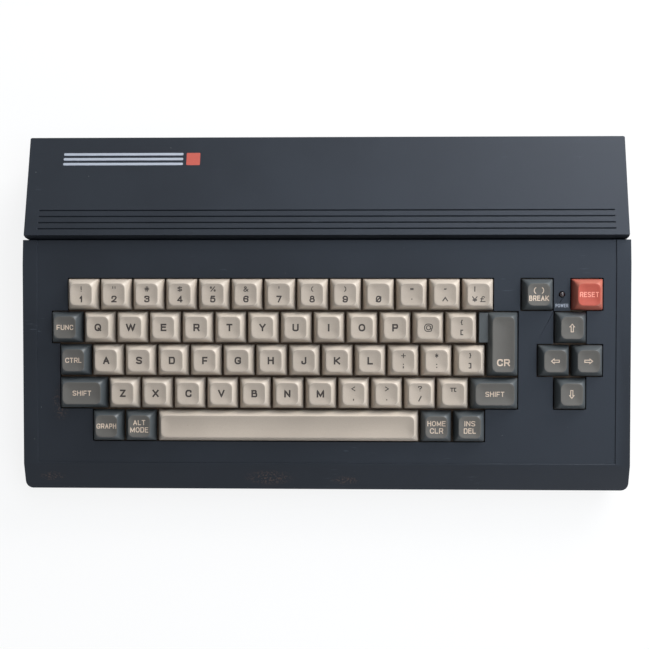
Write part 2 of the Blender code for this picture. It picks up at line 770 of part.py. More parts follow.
def make_single_keys():
    """Every key that stands alone, placed on the key plane with its origin on its own axis."""
    plain = {"cream": cream_key, "dark": dark_key, "red": red_key}
    shared = {}

    def place(name, place_in_rows, span, tone):
        key = (span, tone)
        if key not in shared:
            shared[key] = cap_mesh(f"cap_{tone}_{span}", key_size(span), key_size(1.0))
        obj = place_piece(name, shared[key], plain[tone](), KEY_PLANE)
        obj.location = deck_point(*place_in_rows)

    for name, (pitches, row, span) in SINGLE_KEY_SHARES.items():
        place(name, (pitches, row), span, "red" if name == "key_reset" else "dark")
    for i, letter in enumerate(TOP_LETTER_NAMES):
        place("key_" + letter, (TOP_LETTER_START_SHARE + i, 1), 1.0, "cream")
    for i, letter in enumerate(HOME_LETTER_NAMES):
        place("key_" + letter, (HOME_LETTER_START_SHARE + i, 2), 1.0, "cream")


def make_space_key():
    pitches, row, span = SPACE_KEY_SHARES
    mesh = cap_mesh("cap_space", key_size(span), key_size(1.0))
    space = place_piece("key_space", mesh, cream_key(), KEY_PLANE)
    space.location = deck_point(pitches, row)
    ceiling = CAP_HEIGHT - CAP_DISH_DEPTH - CAP_CEILING / 2
    height = ceiling + STEM_REACH
    guides = boxes("space_guides", [
        ((STEM_WIDTH, STEM_WIDTH, height), (side * SPACE_GUIDE_SPREAD, 0, ceiling - height / 2))
        for side in (-1, 1)
    ])
    tool = place_cutter("space_guides", guides, KEY_PLANE)
    tool.location = space.location
    join(space, tool)


def make_return_key():
    """The tall return key over two rows, with a low shelf at its upper left."""
    pitches, row, span = RETURN_KEY_SHARES
    mesh = cap_mesh("cap_return", key_size(span), key_size(RETURN_DEPTH_SHARE))
    tall = place_piece("key_return", mesh, dark_key(), KEY_PLANE)
    tall.location = deck_point(pitches, row)
    shelf_width = RETURN_SHELF_SHARE * KEY_PITCH + CAP_WALL / 2
    left = -key_size(span) / 2 - RETURN_SHELF_SHARE * KEY_PITCH
    shelf_height = RETURN_SHELF_HEIGHT + CAP_SKIRT_DEPTH
    shelf = boxes("return_shelf", [(
        (shelf_width, key_size(1.0), shelf_height),
        (left + shelf_width / 2, KEY_PITCH / 2, RETURN_SHELF_HEIGHT - shelf_height / 2),
    )])
    tool = place_cutter("return_shelf", shelf, KEY_PLANE)
    tool.location = tall.location
    join(tall, tool)


def make_key_bank(name, start, row, count):
    """A row of caps on one thin rail that runs through their skirts, as one moving piece."""
    length = (count - 1) * KEY_PITCH
    rail = boxes(name, [(
        (length, RAIL_WIDTH, RAIL_HEIGHT),
        (length / 2, 0, RAIL_HEIGHT / 2 - CAP_SKIRT_DEPTH + STEM_CORNER / 2),
    )])
    bank = place_piece(name, rail, cream_key(), KEY_PLANE)
    bank.location = deck_point(start, row)
    bm = bmesh.new()
    for i in range(count):
        add_cap(bm, key_size(1.0), key_size(1.0), (i * KEY_PITCH, 0.0))
    tool = place_cutter(name + "_caps", mesh_from(bm, name + "_caps"), KEY_PLANE)
    tool.location = bank.location
    join(bank, tool)


def stem_places():
    places = [(value[0], value[1]) for value in SINGLE_KEY_SHARES.values()]
    places += [(TOP_LETTER_START_SHARE + i, 1) for i in range(len(TOP_LETTER_NAMES))]
    places += [(HOME_LETTER_START_SHARE + i, 2) for i in range(len(HOME_LETTER_NAMES))]
    places += [(float(i), 0) for i in range(NUMBER_ROW_KEYS)]
    places += [(LOWER_ROW_START_SHARE + i, 3) for i in range(LOWER_ROW_KEYS)]
    places += [SPACE_KEY_SHARES[:2], RETURN_KEY_SHARES[:2]]
    spread = SPACE_GUIDE_SPREAD / KEY_PITCH
    places += [(SPACE_KEY_SHARES[0] - spread, SPACE_KEY_SHARES[1]), (SPACE_KEY_SHARES[0] + spread, SPACE_KEY_SHARES[1])]
    return places


def frame_extent():
    """The keyboard frame's low and high corner on the key plane."""
    left = deck_point(KEYBOARD_LEFT_SHARE, 0).x - FRAME_SIDE_MARGIN
    right = deck_point(KEYBOARD_RIGHT_SHARE, 0).x + FRAME_SIDE_MARGIN
    rear = deck_point(0, -0.5).y + FRAME_END_MARGIN
    front = deck_point(0, KEY_ROWS - 0.5).y - FRAME_END_MARGIN
    return left, front, right, rear


def post_places():
    left, front, right, rear = frame_extent()
    inset = FRAME_RIM_WIDTH + POST_RADIUS
    return [(deck_point(column, 0).x, y) for column in POST_COLUMN_SHARES for y in (front + inset, rear - inset)]


def make_keyboard_frame():
    left, front, right, rear = frame_extent()
    middle_x, middle_y = (left + right) / 2, (front + rear) / 2
    width, depth = right - left, rear - front
    plate = boxes("keyboard_frame", [(
        (width, depth, FRAME_BOTTOM - FRAME_DROP),
        (middle_x, middle_y, -(FRAME_BOTTOM + FRAME_DROP) / 2),
    )])
    frame = place_piece("keyboard_frame", plate, frame_plastic(), KEY_PLANE)
    pocket_top = -FRAME_DROP - FRAME_THICKNESS
    pocket_height = FRAME_RIM_HEIGHT + OVERRUN
    pocket = boxes("frame_pocket", [(
        (width - FRAME_RIM_WIDTH * 2, depth - FRAME_RIM_WIDTH * 2, pocket_height),
        (middle_x, middle_y, pocket_top - pocket_height / 2),
    )])
    cut(frame, place_cutter("frame_pocket", pocket, KEY_PLANE))
    hole = STEM_WIDTH + STEM_CLEARANCE * 2
    height = FRAME_THICKNESS + OVERRUN * 2
    holes = []
    for pitches, row in stem_places():
        x, y, z = deck_point(pitches, row, pocket_top + FRAME_THICKNESS / 2)
        holes.append(((hole, hole, height), (x, y, z)))
    cut(frame, place_cutter("stem_holes", boxes("stem_holes", holes), KEY_PLANE))
    x, y, z = deck_point(*LAMP_SHARES, pocket_top)
    lamp_hole = rods("lamp_frame_hole", [
        (LAMP_COLLAR_RADIUS + CLEARANCE, height * 2, (x, y, z), "Z", SMALL_ROUND_STEPS)
    ])
    cut(frame, place_cutter("lamp_frame_hole", lamp_hole, KEY_PLANE))


def make_keyboard_board():
    left, front, right, rear = frame_extent()
    board = boxes("keyboard_circuit_board", [(
        (right - left, rear - front, BOARD_THICKNESS),
        ((left + right) / 2, (front + rear) / 2, -KEY_BOARD_TOP - BOARD_THICKNESS / 2),
    )])
    place_piece("keyboard_circuit_board", board, board_green(), KEY_PLANE)


def make_power_lamp():
    """A round lamp on a collar that stands on the keyboard's circuit board."""
    foot = -KEY_BOARD_TOP + CLEARANCE
    shoulder = -PANEL_RECESS - TOP_WALL - CLEARANCE
    profile = [
        (0.0, LAMP_PROUD + LAMP_DOME),
        (LAMP_RADIUS * math.cos(math.pi / 4), LAMP_PROUD + LAMP_DOME / 2),
        (LAMP_RADIUS, LAMP_PROUD),
        (LAMP_RADIUS, shoulder),
        (LAMP_COLLAR_RADIUS, shoulder),
        (LAMP_COLLAR_RADIUS, foot),
        (0.0, foot),
    ]
    bm = bmesh.new()
    points = [bm.verts.new((radius, 0.0, z)) for radius, z in profile]
    for a, b in zip(points, points[1:]):
        bm.edges.new((a, b))
    mesh = bpy.data.meshes.new("power_lamp")
    bm.to_mesh(mesh)
    bm.free()
    lamp = place_piece("power_lamp", mesh, lamp_red(), KEY_PLANE)
    lamp.location = deck_point(*LAMP_SHARES)
    turning = lamp.modifiers.new("turned", "SCREW")
    turning.steps = SMALL_ROUND_STEPS
    turning.render_steps = SMALL_ROUND_STEPS
    turning.use_merge_vertices = True
    turning.merge_threshold = WELD


def make_upper_case():
    """The top shell: its outside, less its inside, then its openings, grooves and bosses."""
    plan = plan_outline(0)
    bottom = PARTING_FRONT_HEIGHT - OVERRUN
    shell = place_piece(
        "upper_case",
        drafted_plan("upper_case", plan, bottom, CASE_HEIGHT + OVERRUN),
        dark_case(),
    )
    turned = side_profile_matrix()
    long = CASE_WIDTH + OVERRUN * 2
    outside = top_line()
    outside[0] = extended(outside[1], outside[0])
    outside[-1] = extended(outside[-2], outside[-1])
    body = outline_mesh("case_side", outside + parting_line(0.0), long, turned)
    keep_common(shell, place_cutter("case_side", body))

    inner_plan = plan_outline(SIDE_WALL)
    hollow = place_cutter(
        "case_hollow",
        drafted_plan("case_hollow", inner_plan, bottom - OVERRUN, CASE_HEIGHT + OVERRUN),
    )
    walls = [
        TOP_WALL,
        TOP_WALL + PANEL_RECESS,
        TOP_WALL + PANEL_RECESS,
        TOP_WALL,
        TOP_WALL,
        TOP_WALL,
        TOP_WALL,
    ]
    low = -OVERRUN * 2
    closed = outside + [(outside[-1][0], low), (outside[0][0], low)]
    inside = inset_outline(closed, walls + [0.0, 0.0, 0.0])
    keep_common(hollow, place_cutter(
        "hollow_side", outline_mesh("hollow_side", inside, long, turned)
    ))
    cut(hollow, hood_lean("hollow_lean", SIDE_WALL))
    cut(shell, hollow)
    cut(shell, hood_lean("hood_lean", 0.0))

    cut_panel(shell)
    add_upper_bosses(shell)
    cut_key_openings(shell)
    cut_hood_grooves(shell)
    cut_screw_pilots(shell)


def hood_lean(name, inset):
    """The wedges that lean the hood's two sides inwards, from the parting line to the ridge."""
    side = CASE_WIDTH / 2 - inset
    foot = (side + CLEARANCE / 2, PARTING_REAR_HEIGHT)
    head = (side - HOOD_LEAN, CASE_HEIGHT)
    low, high = extended(head, foot), extended(foot, head)
    outer = side + OVERRUN
    points = [low, (outer, low[1]), (outer, high[1]), high]
    front, rear = DECK_REAR_Y + GROOVE_FLOOR_WIDTH / 2, REAR_Y + OVERRUN
    matrix = Matrix(((1, 0, 0, 0), (0, 0, -1, (front + rear) / 2), (0, 1, 0, 0), (0, 0, 0, 1)))
    bm = bmesh.new()
    for mirror in (-1, 1):
        wedge = outline_mesh(name, [(mirror * x, z) for x, z in points], rear - front, matrix)
        bm.from_mesh(wedge)
        bpy.data.meshes.remove(wedge)
    return place_cutter(name, mesh_from(bm, name))


def extended(inner, outer):
    """A point past the outer one, on the line from the inner one through it."""
    along = (Vector(outer) - Vector(inner)).normalized()
    return tuple(Vector(outer) + along * OVERRUN)


def upper_boss_places():
    rear = [(share * INNER_SIDE_X, REAR_BOSS_Y) for share in REAR_BOSS_SHARES]
    front = [(share * INNER_SIDE_X, FRONT_BOSS_Y) for share in FRONT_BOSS_SHARES]
    return rear + front


def surface_height(y):
    """The height of the case's upper surface at a depth."""
    line = top_line()
    for (y0, z0), (y1, z1) in zip(line, line[1:]):
        if y0 <= y <= y1 and y1 > y0:
            return z0 + (z1 - z0) * (y - y0) / (y1 - y0)
    return 0.0


def add_upper_bosses(shell):
    """Screw bosses under the hood and the front edge, and posts that hold the keyboard frame."""
    low = BOSS_MEET_HEIGHT + CLEARANCE
    rows = []
    for x, y in upper_boss_places():
        lowest = min(surface_height(y - BOSS_RADIUS), surface_height(y + BOSS_RADIUS))
        top = lowest - CLEARANCE * 2
        rows.append((BOSS_RADIUS, top - low, (x, y, (top + low) / 2), "Z", SMALL_ROUND_STEPS))
    join(shell, place_cutter("upper_bosses", rods("upper_bosses", rows)))
    bottom = -FRAME_DROP + CLEARANCE
    top = -TOP_WALL + POST_SINK
    posts = [
        (POST_RADIUS, top - bottom, (x, y, (top + bottom) / 2), "Z", SMALL_ROUND_STEPS)
        for x, y in post_places()
    ]
    join(shell, place_cutter("frame_posts", rods("frame_posts", posts), KEY_PLANE))


def cut_panel(shell):
    """The sunken panel: one shallow cut from the wide groove down to the front border."""
    width = CASE_WIDTH - PANEL_SIDE_MARGIN * 2
    front = BORDER_Y + PANEL_FRONT_LIP
    side = [
        (front, surface_height(front)),
        (CREASE_Y, CREASE_Z),
        (DECK_REAR_Y, DECK_REAR_HEIGHT),
        (DECK_REAR_Y, DECK_REAR_HEIGHT + OVERRUN),
        (front, BORDER_Z + OVERRUN),
    ]
    sunk = inset_outline(side, [-PANEL_RECESS, -PANEL_RECESS, -GROOVE_FLOOR_WIDTH, 0.0, 0.0])
    mesh = outline_mesh("panel_recess", sunk, width, side_profile_matrix())
    cut(shell, place_cutter("panel_recess", mesh))


def cut_key_openings(shell):
    thickness = (TOP_WALL + OVERRUN) * 2
    for name, points in (
        ("block_opening", block_opening_points()),
        ("cursor_opening", cursor_opening_points()),
        ("break_opening", break_opening_points()),
    ):
        mesh = outline_mesh(name, points, thickness)
        cut(shell, place_cutter(name, mesh, KEY_PLANE))
    x, y, z = deck_point(*LAMP_SHARES)
    hole = rods("lamp_hole", [
        (LAMP_RADIUS + CLEARANCE, thickness, (x, y, z), "Z", SMALL_ROUND_STEPS)
    ])
    cut(shell, place_cutter("lamp_hole", hole, KEY_PLANE))


def cut_hood_grooves(shell):
    """Four thin V grooves across the hood, behind its ridge."""
    length = CASE_WIDTH - HOOD_GROOVE_END_MARGIN * 2
    slope = math.atan2(CASE_HEIGHT - REAR_EDGE_HEIGHT, HOOD_LENGTH)
    half = HOOD_GROOVE_WIDTH / 2
    points = [(-half, HOOD_GROOVE_DEPTH), (0.0, -HOOD_GROOVE_DEPTH), (half, HOOD_GROOVE_DEPTH)]
    bm = bmesh.new()
    for i in range(HOOD_GROOVES):
        distance = HOOD_GROOVE_START + i * HOOD_GROOVE_PITCH
        y = RIDGE_Y + distance * math.cos(slope)
        z = CASE_HEIGHT - distance * math.sin(slope)
        matrix = (
            Matrix.Translation((0, y, z))
            @ Matrix.Rotation(-slope, 4, "X")
            @ side_profile_matrix()
        )
        groove = outline_mesh("hood_groove", points, length, matrix)
        bm.from_mesh(groove)
        bpy.data.meshes.remove(groove)
    cut(shell, place_cutter("hood_grooves", mesh_from(bm, "hood_grooves")))


def cut_screw_pilots(shell):
    depth = SCREW_PILOT_DEPTH * 2
    rows = [
        (SCREW_HOLE_RADIUS - CLEARANCE, depth, (x, y, BOSS_MEET_HEIGHT), "Z", SMALL_ROUND_STEPS)
        for x, y in upper_boss_places()
    ]
    cut(shell, place_cutter("screw_pilots", rods("screw_pilots", rows)))


def make_lower_case():
    """The bottom tray: outside less inside, then bosses, cartridge chamber and cut-outs."""
    plan = plain_plan(LOWER_SIDE_X, LOWER_END_Y)
    top = PARTING_REAR_HEIGHT + TONGUE_HEIGHT + OVERRUN
    shell = place_piece(
        "lower_case",
        outline_mesh("lower_case", plan, top, Matrix.Translation((0, 0, top / 2))),
        dark_case(),
    )
    turned = side_profile_matrix()
    long = CASE_WIDTH
    side = parting_line(TONGUE_HEIGHT) + [
        (-LOWER_END_Y - OVERRUN, LOWER_BOTTOM + LOWER_CHAMFER + OVERRUN),
        (-LOWER_END_Y + LOWER_CHAMFER, LOWER_BOTTOM),
        (LOWER_END_Y - LOWER_CHAMFER, LOWER_BOTTOM),
        (LOWER_END_Y + OVERRUN, LOWER_BOTTOM + LOWER_CHAMFER + OVERRUN),
    ]
    keep_common(shell, place_cutter("tray_side", outline_mesh("tray_side", side, long, turned)))
    inner = plain_plan(INNER_SIDE_X, INNER_END_Y)
    height = top + OVERRUN - FLOOR_TOP
    hollow = outline_mesh(
        "tray_hollow", inner, height, Matrix.Translation((0, 0, FLOOR_TOP + height / 2))
    )
    cut(shell, place_cutter("tray_hollow", hollow))
    add_lower_bosses(shell)
    add_cartridge_guides(shell)
    cut_pilaster_gaps(shell)
    cut_screw_holes(shell)
    cut_slot(shell)
    cut_socket_holes(shell)
    cut_foot_seats(shell)


def plain_plan(half_width, half_depth):
    corners = [
        (-half_width, -half_depth),
        (half_width, -half_depth),
        (half_width, half_depth),
        (-half_width, half_depth),
    ]
    return rounded(corners, [FRONT_CORNER_RADIUS - SIDE_WALL / 2] * len(corners))


def on_main_board(share_x, share_y):
    """A place on the main board from its shares of the half length and half depth."""
    return (
        MAIN_BOARD_MIDDLE_X + share_x * MAIN_BOARD_LENGTH / 2,
        MAIN_BOARD_MIDDLE_Y + share_y * MAIN_BOARD_DEPTH / 2,
    )


def add_lower_bosses(shell):
    sunk = FLOOR_TOP - FLOOR_WALL / 2
    rows = []
    for x, y in upper_boss_places():
        height = BOSS_MEET_HEIGHT - sunk
        rows.append((BOSS_RADIUS, height, (x, y, sunk + height / 2), "Z", SMALL_ROUND_STEPS))
    for x, y in (on_main_board(*shares) for shares in STANDOFF_SHARES):
        height = FLOOR_TOP + STANDOFF_HEIGHT - sunk
        rows.append((STANDOFF_RADIUS, height, (x, y, sunk + height / 2), "Z", SMALL_ROUND_STEPS))
    join(shell, place_cutter("lower_bosses", rods("lower_bosses", rows)))


def add_cartridge_guides(shell):
    """The raised floor that a cartridge slides on, and the low wall along its front side."""
    sunk = FLOOR_TOP - FLOOR_WALL / 2
    length = INNER_SIDE_X - CHAMBER_X + SIDE_WALL / 2
    middle_x = CHAMBER_X + length / 2
    front = SLOT_MIDDLE_Y - SLOT_LENGTH / 2
    floor = (
        (length, SLOT_LENGTH, SLOT_BOTTOM - CLEARANCE - sunk),
        (middle_x, SLOT_MIDDLE_Y, (SLOT_BOTTOM - CLEARANCE + sunk) / 2),
    )
    join(shell, place_cutter("cartridge_floor", boxes("cartridge_floor", [floor])))
    fence = (
        (length, GUIDE_WALL, SLOT_TOP - sunk),
        (middle_x, front - GUIDE_WALL / 2 - CLEARANCE, (SLOT_TOP + sunk) / 2),
    )
    join(shell, place_cutter("cartridge_fence", boxes("cartridge_fence", [fence])))


def cut_pilaster_gaps(shell):
    """Room in the tray's upper edge for the upper case's thick wall behind each notch."""
    low = PARTING_REAR_HEIGHT - CLEARANCE
    height = TONGUE_HEIGHT + OVERRUN
    depth = GROOVE_WIDTH + SIDE_WALL * 4
    gaps = [
        (
            (SIDE_WALL * 4, depth, height),
            (side * LOWER_SIDE_X, (DECK_REAR_Y + RIDGE_Y) / 2, low + height / 2),
        )
        for side in (-1, 1)
    ]
    cut(shell, place_cutter("pilaster_gaps", boxes("pilaster_gaps", gaps)))


def cut_screw_holes(shell):
    rows = []
    for x, y in upper_boss_places():
        rows.append((
            SCREW_HEAD_RADIUS, SCREW_HEAD_DEPTH * 2, (x, y, LOWER_BOTTOM), "Z", SMALL_ROUND_STEPS
        ))
    cut(shell, place_cutter("screw_head_wells", rods("screw_head_wells", rows)))
    shanks = [
        (SCREW_HOLE_RADIUS, BOSS_MEET_HEIGHT * 3, (x, y, BOSS_MEET_HEIGHT), "Z", SMALL_ROUND_STEPS)
        for x, y in upper_boss_places()
    ]
    cut(shell, place_cutter("screw_shank_holes", rods("screw_shank_holes", shanks)))


def cut_slot(shell):
    """The cartridge slot through the right wall, and the pockets for the door's pins."""
    depth = SIDE_WALL * 3
    slot = boxes("cartridge_slot", [(
        (depth, SLOT_LENGTH, SLOT_HEIGHT),
        (LOWER_SIDE_X - SIDE_WALL / 2, SLOT_MIDDLE_Y, (SLOT_TOP + SLOT_BOTTOM) / 2),
    )])
    cut(shell, place_cutter("cartridge_slot", slot))
    length = SLOT_LENGTH + (DOOR_PIN_LENGTH + CLEARANCE) * 2
    pocket = rods("door_pockets", [(
        DOOR_POCKET_RADIUS, length, (DOOR_X, SLOT_MIDDLE_Y, DOOR_AXIS_Z), "Y", SMALL_ROUND_STEPS
    )])
    cut(shell, place_cutter("door_pockets", pocket))


def cut_socket_holes(shell):
    """Cut-outs in the rear wall, each a little wider than what stands in it."""
    wide = SOCKET_CLEARANCE * 2
    y = LOWER_END_Y - SIDE_WALL / 2
    depth = SIDE_WALL * 3
    round_holes = [
        (POWER_JACK_RADIUS, POWER_JACK_X),
        (PHONO_RADIUS, PHONO_X),
        (DIN_RADIUS, VIDEO_X),
        (DIN_RADIUS, PRINTER_X),
        (JACK_RADIUS, CASSETTE_X - CASSETTE_SPREAD / 2),
        (JACK_RADIUS, CASSETTE_X + CASSETTE_SPREAD / 2),
    ]
    rows = [
        (radius + SOCKET_CLEARANCE, depth, (x, y, SOCKET_Z), "Y", ROUND_STEPS)
        for radius, x in round_holes
    ]
    cut(shell, place_cutter("round_socket_holes", rods("round_socket_holes", rows)))
    square_holes = [
        (LEVER_WIDTH + LEVER_TRAVEL + wide, LEVER_HEIGHT + wide, POWER_SWITCH_X + LEVER_TRAVEL / 2),
        (
            CHANNEL_LEVER_WIDTH + CHANNEL_LEVER_TRAVEL + wide,
            CHANNEL_LEVER_HEIGHT + wide,
            CHANNEL_SWITCH_X + CHANNEL_LEVER_TRAVEL / 2,
        ),
        (PORT_LENGTH + wide, PORT_HEIGHT + wide, JOYSTICK_X - JOYSTICK_SPREAD / 2),
        (PORT_LENGTH + wide, PORT_HEIGHT + wide, JOYSTICK_X + JOYSTICK_SPREAD / 2),
    ]
    cells = [((length, depth, height), (x, y, SOCKET_Z)) for length, height, x in square_holes]
    cut(shell, place_cutter("square_socket_holes", boxes("square_socket_holes", cells)))


def foot_middle_y(side):
    return side * (LOWER_END_Y - FOOT_EDGE_DISTANCE)


def cut_foot_seats(shell):
    height = FOOT_SINK
    seats = [
        (
            (FOOT_LENGTH + CLEARANCE * 2, FOOT_WIDTH + CLEARANCE * 2, height * 2),
            (0, foot_middle_y(side), LOWER_BOTTOM),
        )
        for side in (-1, 1)
    ]
    cut(shell, place_cutter("foot_seats", boxes("foot_seats", seats)))


def make_feet():
    """Two long rubber strips, each seated in a shallow groove in the tray."""
    height = FOOT_HEIGHT - CLEARANCE
    for name, side in (("front_foot_strip", -1), ("rear_foot_strip", 1)):
        mesh = boxes(name, [((FOOT_LENGTH, FOOT_WIDTH, height), (0, 0, 0))])
        foot = place_piece(name, mesh, foot_rubber())
        foot.location = (0, foot_middle_y(side), height / 2)
        edge = foot.modifiers.new("soft_edge", "BEVEL")
        edge.width = FOOT_BEVEL
        edge.segments = 1


def make_main_board():
    """The main circuit board with its chips and the bodies of the two switches."""
    board = place_piece(
        "main_circuit_board",
        boxes("main_circuit_board", [(
            (MAIN_BOARD_LENGTH, MAIN_BOARD_DEPTH, BOARD_THICKNESS),
            (0, 0, -BOARD_THICKNESS / 2),
        )]),
        board_green(),
    )
    board.location = (MAIN_BOARD_MIDDLE_X, MAIN_BOARD_MIDDLE_Y, MAIN_BOARD_TOP)
    chips = []
    for (length, depth, height), share_x, share_y in COMPONENT_SHARES:
        tall = height + CHIP_SINK
        x, y = on_main_board(share_x, share_y)
        chips.append(((length, depth, tall), (x, y, MAIN_BOARD_TOP + tall / 2 - CHIP_SINK)))
    join(board, place_cutter("components", boxes("components", chips)))
    add_power_switch_body(board)
    clear = BOSS_RADIUS + CLEARANCE * 2
    rows = [
        (clear, BOARD_THICKNESS * 4, (x, y, MAIN_BOARD_TOP), "Z", SMALL_ROUND_STEPS)
        for x, y in upper_boss_places()[:3]
    ]
    cut(board, place_cutter("board_boss_holes", rods("board_boss_holes", rows)))


def add_power_switch_body(board):
    """The power switch's body, open to the rear where its lever slides."""
    rear = INNER_END_Y - CLEARANCE
    tall = SOCKET_HEIGHT + SWITCH_BODY_HEIGHT / 2 + CHIP_SINK + CLEARANCE
    low = MAIN_BOARD_TOP - CHIP_SINK
    middle = POWER_SWITCH_X + LEVER_TRAVEL / 2
    block = boxes("power_switch_body", [(
        (SWITCH_BODY_LENGTH, SWITCH_BODY_DEPTH, tall),
        (middle, rear - SWITCH_BODY_DEPTH / 2, low + tall / 2),
    )])
    join(board, place_cutter("power_switch_body", block))
    groove = lever_groove("power_switch_groove", middle, rear, LEVER_TRAVEL)
    cut(board, groove)


def lever_groove(name, middle, rear, travel):
    """The channel in a switch body that the sole of its lever slides along."""
    length = LEVER_SOLE_WIDTH + travel + CLEARANCE * 2
    depth = LEVER_SOLE_DEPTH + CLEARANCE
    mesh = boxes(name, [(
        (length, depth * 2, LEVER_SOLE_HEIGHT + CLEARANCE * 2),
        (middle, rear, SOCKET_Z),
    )])
    return place_cutter(name, mesh)


def make_lever(name, x, width, height, proud, finish):
    """A switch lever: a flat sole in its switch and a finger through the rear wall."""
    rear = INNER_END_Y - CLEARANCE
    sole = boxes(name, [(
        (LEVER_SOLE_WIDTH, LEVER_SOLE_DEPTH, LEVER_SOLE_HEIGHT),
        (0, -LEVER_SOLE_DEPTH / 2, 0),
    )])
    lever = place_piece(name, sole, finish)
    lever.location = (x, rear, SOCKET_Z)
    reach = LOWER_END_Y + proud - rear + LEVER_SOLE_DEPTH / 2
    finger = boxes(name + "_finger", [(
        (width, reach, height),
        (0, reach / 2 - LEVER_SOLE_DEPTH / 2, 0),
    )])
    tool = place_cutter(name + "_finger", finger)
    tool.location = lever.location
    join(lever, tool)


def make_levers():
    make_lever(
        "power_switch_lever", POWER_SWITCH_X, LEVER_WIDTH, LEVER_HEIGHT, LEVER_PROUD, socket_black()
    )
    make_lever(
        "channel_switch_lever",
        CHANNEL_SWITCH_X,
        CHANNEL_LEVER_WIDTH,
        CHANNEL_LEVER_HEIGHT,
        CHANNEL_LEVER_PROUD,
        socket_black(),
    )


def make_modulator():
    """The television modulator: a metal can with a phono socket and the channel switch."""
    rear = INNER_END_Y - CLEARANCE
    can = place_piece(
        "rf_modulator",
        boxes("rf_modulator", [(
            (MODULATOR_LENGTH, MODULATOR_DEPTH, MODULATOR_HEIGHT),
            (MODULATOR_X, rear - MODULATOR_DEPTH / 2, SOCKET_BASE + MODULATOR_HEIGHT / 2),
        )]),
        tin_plate(),
    )
    reach = SIDE_WALL + CLEARANCE + MODULATOR_DEPTH / 4
    barrel = rods("phono_barrel", [
        (PHONO_RADIUS, reach, (PHONO_X, LOWER_END_Y - reach / 2, SOCKET_Z), "Y", ROUND_STEPS)
    ])
    join(can, place_cutter("phono_barrel", barrel))
    hole = rods("phono_hole", [
        (PHONO_HOLE_RADIUS, reach, (PHONO_X, LOWER_END_Y, SOCKET_Z), "Y", SMALL_ROUND_STEPS)
    ])
    cut(can, place_cutter("phono_hole", hole))
    middle = CHANNEL_SWITCH_X + CHANNEL_LEVER_TRAVEL / 2
    cut(can, lever_groove("channel_switch_groove", middle, rear, CHANNEL_LEVER_TRAVEL))


def make_din_socket(name, x):
    """A round multi-pin socket: a square body, a round shroud and the groove for the plug."""
    rear = INNER_END_Y - CLEARANCE
    body = place_piece(
        name,
        boxes(name, [(
            (DIN_BODY, DIN_BODY_DEPTH, SOCKET_HEIGHT * 2),
            (x, rear - DIN_BODY_DEPTH / 2, SOCKET_BASE + SOCKET_HEIGHT),
        )]),
        socket_black(),
    )
    reach = LOWER_END_Y - rear + DIN_BODY_DEPTH / 4
    shroud = rods(name + "_shroud", [
        (DIN_RADIUS, reach, (x, LOWER_END_Y - reach / 2, SOCKET_Z), "Y", ROUND_STEPS)
    ])
    join(body, place_cutter(name + "_shroud", shroud))
    groove = place_cutter(name + "_groove", rods(name + "_groove", [
        (DIN_GROOVE_OUTER, DIN_GROOVE_DEPTH * 2, (x, LOWER_END_Y, SOCKET_Z), "Y", ROUND_STEPS)
    ]))
    core = place_cutter(name + "_core", rods(name + "_core", [
        (DIN_GROOVE_INNER, DIN_GROOVE_DEPTH * 4, (x, LOWER_END_Y, SOCKET_Z), "Y", ROUND_STEPS)
    ]))
    cut(groove, core)
    cut(body, groove)


def make_power_jack():
    """The round low-voltage inlet with its centre pin."""
    rear = INNER_END_Y - CLEARANCE
    body = place_piece(
        "power_jack",
        boxes("power_jack", [(
            (JACK_BODY, JACK_DEPTH, SOCKET_HEIGHT + POWER_JACK_RADIUS),
            (
                POWER_JACK_X,
                rear - JACK_DEPTH / 2,
                SOCKET_BASE + (SOCKET_HEIGHT + POWER_JACK_RADIUS) / 2,
            ),
        )]),
        socket_black(),
    )
    reach = LOWER_END_Y - rear + JACK_DEPTH / 4
    place = (POWER_JACK_X, LOWER_END_Y - reach / 2, SOCKET_Z)
    barrel = rods("power_barrel", [(POWER_JACK_RADIUS, reach, place, "Y", ROUND_STEPS)])
    join(body, place_cutter("power_barrel", barrel))
    mouth = (POWER_JACK_X, LOWER_END_Y, SOCKET_Z)
    hole = place_cutter("power_hole", rods("power_hole", [
        (POWER_HOLE_RADIUS, reach * 2, mouth, "Y", SMALL_ROUND_STEPS)
    ]))
    pin = place_cutter("power_pin", rods("power_pin", [
        (POWER_PIN_RADIUS, reach * 4, mouth, "Y", SMALL_ROUND_STEPS)
    ]))
    cut(hole, pin)
    cut(body, hole)


def make_cassette_jacks():
    """Two small jack sockets in one block."""
    rear = INNER_END_Y - CLEARANCE
    length = CASSETTE_SPREAD + JACK_BODY
    block = place_piece(
        "cassette_jacks",
        boxes("cassette_jacks", [(
            (length, JACK_DEPTH, SOCKET_HEIGHT + JACK_BODY / 2),
            (
                CASSETTE_X,
                rear - JACK_DEPTH / 2,
                SOCKET_BASE + (SOCKET_HEIGHT + JACK_BODY / 2) / 2,
            ),
        )]),
        socket_black(),
    )
    reach = LOWER_END_Y - rear + JACK_DEPTH / 4
    sides = [CASSETTE_X - CASSETTE_SPREAD / 2, CASSETTE_X + CASSETTE_SPREAD / 2]
    barrels = [
        (JACK_RADIUS, reach, (x, LOWER_END_Y - reach / 2, SOCKET_Z), "Y", ROUND_STEPS) for x in sides
    ]
    join(block, place_cutter("jack_barrels", rods("jack_barrels", barrels)))
    holes = [
        (JACK_HOLE_RADIUS, JACK_DEPTH, (x, LOWER_END_Y, SOCKET_Z), "Y", SMALL_ROUND_STEPS)
        for x in sides
    ]
    cut(block, place_cutter("jack_holes", rods("jack_holes", holes)))


